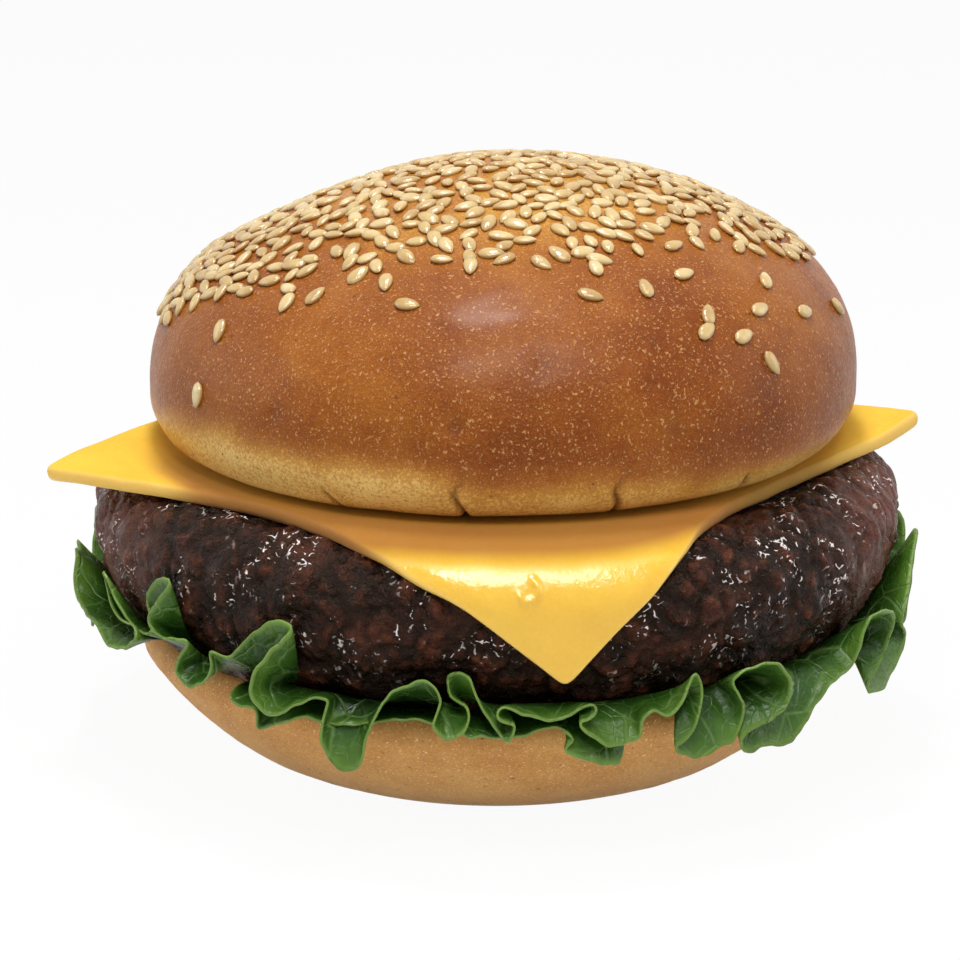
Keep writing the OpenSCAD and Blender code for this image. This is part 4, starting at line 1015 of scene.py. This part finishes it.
def over_lumps(grid, normals):
    """How far each point must move along its normal to lie on the lump over it."""
    push = np.zeros(grid.shape[:2])
    for middle in lump_spheres():
        off = grid - middle
        along = (off * normals).sum(-1)
        under = along ** 2 - (off ** 2).sum(-1) + LUMP_R ** 2
        push = np.maximum(push, np.where(under > 0, np.sqrt(np.maximum(under, 0)) - along, 0))
    return push


def patty_rise(grid, normals, coarse, fine):
    """How far the crust stands off the shell at each point."""
    rough = 0.72 * coarse + 0.34 * fine + 0.28 * lumps(grid, 1.6, 2.0) + 0.5 * lumps(grid, 16, 9.0)
    lumpy = over_lumps(grid, normals)
    push = np.maximum(rough + 0.05, CRUST_LEAST)
    push += np.maximum(0, lumpy - 0.45 * np.maximum(rough, 0)) * 0.9
    push = np.maximum(push, lumpy + 0.08)
    far, z = from_axis(grid), grid[..., 2]
    top = smooth(44.5, 48, z) * smooth(57, 52, far)
    root = smooth(52, 47, far)
    behind = smooth(0.1, 0.4, np.sin(np.radians(turn_of(grid)))) * smooth(40, 45, z)
    for low in (top, root, behind):
        push = push * (1 - low) + CRUST_LEAST * low
    return push


def make_patty():
    turns = np.linspace(-180, 180, 840, endpoint=False)
    side, shoulder = (PATTY_R - LOW_R, SHOULDER_Z), (BEND_START, SHOULDER_Z)
    outer = np.concatenate([
        arc(side, LOW_R, -86, 0, 66)[:-1],
        arc(shoulder, SHOULDER_R, 0, 90, 30),
        [[r, PATTY_TOP] for r in (53, 50, 46)],
    ])
    inner = np.concatenate([
        [[r, PATTY_TOP - CRUST_WALL] for r in (46, BEND_START)],
        arc(shoulder, SHOULDER_R - CRUST_WALL, 80, 0, 8),
        arc(side, LOW_R - CRUST_WALL, -10, -86, 10),
    ])
    grid = turned(outer, turns)
    normals = turned(-outline_normals(outer), turns)
    wandering = grid + 1.6 * np.stack([lumps(grid, 5, shift) for shift in (11, 21, 31)], -1)
    coarse, fine = crumbs(wandering, 5.2, 0.3), crumbs(wandering, 2.3, 5.3)
    shaped = grid + normals * patty_rise(grid, normals, coarse, fine)[..., None]
    points = np.concatenate([shaped, turned(inner, turns)])
    # Painted shade in the pits between the crumbs
    pit_shade = np.concatenate([1 - coarse * (0.5 + 0.5 * fine), np.ones((len(inner), len(turns)))])
    mesh = tube_of("patty_crust", points, pit=pit_shade)
    piece = add_piece("patty_crust", mesh, patty_material(), "base")
    low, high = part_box("line_jack")
    gap, near, far = JACK_ROOM
    cut_box(piece, (low.x / MM - gap, near, low.z / MM - gap), (high.x / MM + gap, far, high.z / MM + gap))


# ---- heel

# Arc of the side (r, z), and the lip that shows behind the frills
HEEL_ARC = (18.23, 42.41)
HEEL_ARC_R = 46.5
LIP_R = 3.8
LIP_INNER = 53


def make_heel():
    turns = np.linspace(-180, 180, 540, endpoint=False)
    heights = np.linspace(HEEL_Z + 0.05, HEEL_TOP, 60)
    side = np.stack([HEEL_ARC[0] + np.sqrt(HEEL_ARC_R ** 2 - (heights - HEEL_ARC[1]) ** 2), heights], -1)
    lip = arc((side[-1][0] - LIP_R + 0.2, HEEL_TOP + 1.3), LIP_R, 0, 78, 14)
    outer = np.concatenate([side, lip, [[LIP_INNER + 0.6, HEEL_TOP + 3.2], [LIP_INNER + 0.4, HEEL_TOP + 2]]])
    flat = -outline_normals(outer)
    skin = (side - 0.4 * flat[: len(side)])[::-4]
    inner = np.concatenate([[[LIP_INNER, HEEL_TOP + 0.05], [57.2, HEEL_TOP + 0.05]], skin])
    grid = turned(outer, turns)
    push = 0.4 + 0.2 * lumps(grid, 18, 4.0) + 0.1 * lumps(grid, 6, 7.0) + 0.05 * lumps(grid, 2, 1.0)
    push *= smooth(HEEL_Z, HEEL_Z + 2.5, grid[..., 2])
    shaped = grid + turned(flat, turns) * (0.04 + np.maximum(push, 0))[..., None]
    points = np.concatenate([shaped, turned(inner, turns)])
    add_piece("heel_crust", tube_of("heel_crust", points), heel_material(), "base")


# ---- leaf

LEAF_ROOT_R = 57.4
LEAF_ROOT_Z = 22.9
# Control points (out, up) of the leaf's arch from its root, spans of its flutter, and its thickness
LEAF_BOW = ((0.0, 0.0), (0.8, 1.7), (4.8, 3.9))
FLUTTER = (5.0, 5.5, 2.0)
LEAF_THICK = 0.36
# Steps between two rows of a curve, and distance of its even points
CURVE_STEPS = 24
LEAF_SPACING = 0.5

# The frilled edge along the front, from the left round to the right: turn, radius, height
FRILLS = [
    (192, 69.0, 35), (193, 69.5, 31), (195, 69.3, 28), (198, 69, 27), (202, 68.5, 26), (205, 68, 24.5),
    (209, 67.5, 24.5), (213, 67.3, 27), (212, 66.5, 29), (208, 66.7, 29), (205, 67, 31), (204, 67.5, 35),
    (206, 68, 35.5), (207, 67, 32), (210, 66, 29), (214, 66, 28.5), (217, 66.3, 31), (216.5, 67, 35.5),
    (219.5, 67, 39.2), (222.5, 67.5, 39.8), (221, 68.5, 36.5), (219, 69, 33), (221, 68.5, 31),
    (225.5, 67.5, 31), (224.5, 67.5, 29), (223.3, 67.3, 26.5), (223, 67, 24.6), (225, 66.6, 23.3),
    (228, 66.5, 25), (229.5, 66.8, 28), (229.7, 67, 30.5), (233, 67, 30.6), (236.5, 67, 34.6),
    (240, 67, 37.6), (243, 67.5, 37.2), (241, 68.6, 34), (238.8, 69.4, 30.5), (237.8, 69.5, 27),
    (239, 69, 24), (241, 68, 23.2), (244, 67, 25.5), (247.5, 66.5, 26.4), (247, 67, 22.5), (247, 67, 19.4),
    (249, 66.6, 15.8), (252, 66.6, 16.2), (252.8, 67, 21), (254, 67, 24), (256.2, 67, 28.6),
    (258.4, 67, 30.2), (261, 67.2, 31), (262.8, 68, 28.4), (262, 68.8, 24.8), (263.6, 68.6, 22.5),
    (266, 67.8, 24), (266, 66.5, 26.6), (263.8, 65, 28.4), (263.5, 64.4, 31.2), (266, 65, 31.2),
    (267.4, 66, 28), (269.2, 66.6, 24.4), (271, 67, 21.8), (272, 67.6, 24), (270, 68.2, 25.8),
    (270.5, 68.2, 27.4), (274, 67.6, 26), (276.6, 67.2, 25), (279, 67.2, 26), (281.8, 67.8, 27.4),
    (282, 68.4, 26.2), (280.2, 68.6, 24.6), (281, 68.4, 23), (284.5, 67.6, 20.6), (287.8, 67.4, 21.4),
    (288.2, 68, 24), (289.6, 68.2, 25.2), (292, 68, 24.4), (294, 67.6, 26.6), (295.8, 67, 30),
    (297.4, 66.2, 27.2), (297, 66, 23.4), (296, 66, 20), (293.6, 66, 18), (296.8, 66, 16.2), (299.5, 66, 17),
    (302.6, 66.2, 18), (303.6, 66.6, 23), (301.4, 67.4, 27.8), (303, 68.2, 29.8), (306, 69, 30.2),
    (309, 69.2, 27.8), (309.9, 69, 24.4), (308.6, 68.4, 21.4), (305.5, 67.4, 19.6), (303.4, 66.6, 17.6),
    (305, 66.2, 15.2), (308, 66.2, 15.6), (312.6, 66.2, 14.8), (316, 66.4, 18.6), (320.6, 66.8, 22.4),
    (324.6, 67.4, 24), (325.6, 68.4, 29), (327.4, 69, 31.4), (331, 69.4, 31.4), (334.5, 69, 28),
    (333.6, 67.8, 23), (330, 67.2, 19), (331.6, 67, 16.8), (336.6, 67, 16.6), (341.4, 67.4, 18.6),
    (344, 68, 21.6), (341.4, 68, 25.2), (343, 68.2, 29), (347, 68.4, 34), (350, 68.2, 37.6), (354, 68, 35),
]
# The edge of the lower leaf that peeps out under the first, in front: turn, radius, height
LOW_FRILLS = [
    (226, 64, 22), (230, 65.5, 25.5), (233, 66, 22.6), (236.6, 66.2, 22.6), (237, 66.4, 19.6),
    (240, 66.2, 21), (244, 65.6, 22.6), (248, 65, 22), (252, 64.5, 22.6), (258, 64.5, 24), (263, 64.5, 23),
    (268, 65, 21.6), (273, 65.2, 22), (277, 65.6, 23.4), (279.6, 66, 21.6), (278.6, 66.4, 20),
    (281, 66.6, 18.2), (284, 66.6, 17), (288, 66.4, 17.6), (292, 66, 18.4), (297, 65, 21),
]
# Where the frills round the back start, and their number
BACK_START = 356.0
BACK_RUFFLES = 11


def back_frills():
    """The frills that go on round the back, from one valley and crest to the next."""
    pitch = (FRILLS[0][0] + 360 - 3 - BACK_START) / BACK_RUFFLES
    shape = [(0.02, 68, 29), (0.14, 67.5, 20.5), (0.3, 67, 16.4), (0.44, 67, 18.6), (0.53, 67.6, 25.5),
             (0.57, 68.2, 30.5), (0.7, 68.4, 33.4), (0.87, 68.2, 33)]
    return [(BACK_START + pitch * (k + along), radius, height)
            for k in range(BACK_RUFFLES) for along, radius, height in shape]


def closed_curve(rows):
    """Even points on a smooth closed curve through rows of (turn, radius, height), and its length."""
    rows = np.array(rows, float)
    loops = np.concatenate([rows[-2:] - [360, 0, 0], rows, rows[:2] + [360, 0, 0]])
    pieces = []
    for k in range(1, len(loops) - 2):
        p0, p1, p2, p3 = loops[k - 1 : k + 3]
        t = np.linspace(0, 1, CURVE_STEPS, endpoint=False)[:, None]
        pieces.append(0.5 * (2 * p1 + (p2 - p0) * t + (2 * p0 - 5 * p1 + 4 * p2 - p3) * t ** 2
                             + (3 * p1 - p0 - 3 * p2 + p3) * t ** 3))
    dense = np.concatenate(pieces)[: CURVE_STEPS * len(rows)]
    dense = np.concatenate([dense, dense[:1] + [360, 0, 0]])
    runs = np.diff(polar(dense[:, 1], dense[:, 0], dense[:, 2]), axis=0)
    way = np.concatenate([[0], np.cumsum(np.linalg.norm(runs, axis=1))])
    even = np.linspace(0, way[-1], int(way[-1] / LEAF_SPACING), endpoint=False)
    return np.stack([np.interp(even, way, dense[:, k]) for k in range(3)], -1), way[-1]


def softened(values, length, width):
    """A closed run of values with everything shorter than a width smoothed away."""
    if width <= 0:
        return values
    waves = np.fft.rfft(values)
    turns = 2 * math.pi * np.arange(len(waves)) / length
    return np.fft.irfft(waves * np.exp(-0.5 * (turns * width) ** 2), len(values))


def bow(start, second, third, end, share):
    """Curve with four control values."""
    rest = 1 - share
    middle = 3 * rest ** 2 * share * second + 3 * rest * share ** 2 * third
    return rest ** 3 * start + middle + share ** 3 * end


def leaf_sheet(rows, size, drop, seed):
    """Grid of a leaf that arches up from its root and droops or curls up to its frilled edge."""
    edge, length = closed_curve(rows)
    count = len(edge)
    way = np.arange(count) / count * length
    straight = edge[0, 0] + 360 * np.arange(count) / count
    drift = edge[:, 0] - straight
    flutter = [
        np.array([noise.noise((w / span, seed + k, 0)) for w in way]) for k, span in enumerate(FLUTTER)]
    grow = size(straight % 360)
    points, outs = [], []
    for way_out in np.concatenate([[-0.5], np.linspace(0, 1, 30) ** 0.9]):
        share = max(way_out, 0)
        width = 11 * (1 - share) ** 1.1
        turn = straight + softened(drift, length, width)
        reach = softened(edge[:, 1], length, width) - LEAF_ROOT_R
        rise = softened(edge[:, 2], length, width) - LEAF_ROOT_Z
        wild = share ** 3
        out = bow(*(p[0] for p in LEAF_BOW), reach, share) + 0.5 * wild * flutter[1]
        up = bow(*(p[1] * drop for p in LEAF_BOW), rise, share)
        up += wild * (0.6 * flutter[0] + 0.4 * flutter[2])
        r = LEAF_ROOT_R + grow * out + 2 * min(way_out, 0)
        points.append(polar(r, turn, LEAF_ROOT_Z + grow * up))
        outs.append(np.full(count, share))
    return np.array(points), np.array(outs), grow


def leaf_size(turns):
    """1 round the front and sides, falling to almost 0 behind, where the line jack is."""
    behind = np.clip(1 - np.abs(turns - 90) / 22, 0, 1)
    return 1 - 0.94 * np.minimum(1, 2.2 * behind)


def low_leaf_size(turns):
    return smooth(225, 230, turns) * smooth(297, 291, turns)


def make_leaf():
    points, outs, _ = leaf_sheet(FRILLS + back_frills(), leaf_size, 1.0, 3)
    rows, count = outs.shape
    faces = grid_faces(rows, count, False, True)
    hidden = [(turn, 62, 21) for turn in (160, 200, 330, 370, 420, 470)]
    low_rows = hidden[:2] + LOW_FRILLS + hidden[2:]
    low_points, low_outs, grow = leaf_sheet(low_rows, low_leaf_size, 0.2, 41)
    shown = np.flatnonzero(grow > 0.01)
    shown = slice(shown[0], shown[-1])
    low_points, low_outs = low_points[:, shown], low_outs[:, shown]
    faces += grid_faces(*low_outs.shape, False, False, points.size // 3)
    corners = np.concatenate([points.reshape(-1, 3), low_points.reshape(-1, 3)])
    outs = np.concatenate([outs.ravel(), low_outs.ravel()])
    # The share out is also the mask of the leaf's painted shade near its root
    mesh = mesh_of("lettuce_frill", corners, faces, out=outs, rim=smooth(0.975, 0.995, outs))
    piece = add_piece("lettuce_frill", mesh, leaf_material(), "base")
    thick = piece.modifiers.new("thickness", "SOLIDIFY")
    thick.thickness = LEAF_THICK * MM
    thick.offset = 0.0
    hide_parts("lettuce_leaf")


# ---- keys

KEY_LETTERS = {f"key_{digit}": digit for digit in "123456789"}
KEY_LETTERS |= {"key_star": "*", "key_0": "0", "key_hash": "#"}
LETTER_SIZE = 6.2
# The dished top of a key: its radius, and how far its middle with the print on it lies below the rim
DISH_R = 38
PRINT_SINK = 0.42


def make_prints():
    """Numbers printed on the keys, each on its own key."""
    ink = plastic("key_print_brown", (74, 46, 30), 0.45)
    for key, letter in KEY_LETTERS.items():
        curve = bpy.data.curves.new(key + "_print", "FONT")
        curve.body = letter
        curve.size = LETTER_SIZE * MM
        curve.extrude = 0.12 * MM
        curve.align_x = "CENTER"
        curve.align_y = "CENTER"
        holder = new_object(key + "_print_curve", curve)
        mesh = real_mesh(holder)
        bpy.data.objects.remove(holder)
        low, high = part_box(key)
        middle = (low + high) / 2
        corners = np.array([v.co for v in mesh.vertices])
        centre = (corners.min(0) + corners.max(0)) / 2
        for vertex in mesh.vertices:
            x, y = vertex.co.x - centre[0], vertex.co.y - centre[1]
            dish = (x * x + y * y) / (2 * DISH_R * MM)
            vertex.co = (middle.x + x, middle.y + y, high.z - PRINT_SINK * MM + dish + vertex.co.z * 0.6)
        mesh.materials.clear()
        mesh.materials.append(ink)
        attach(new_object(key + "_print", mesh), key)


# ---- whole

bpy.context.scene.view_settings.view_transform = "Standard"
make_camera()
make_world()
make_floor()
make_lamps()
make_cad_materials()
make_crown()
make_seeds()
make_cheese()
make_patty()
make_heel()
make_leaf()
make_prints()
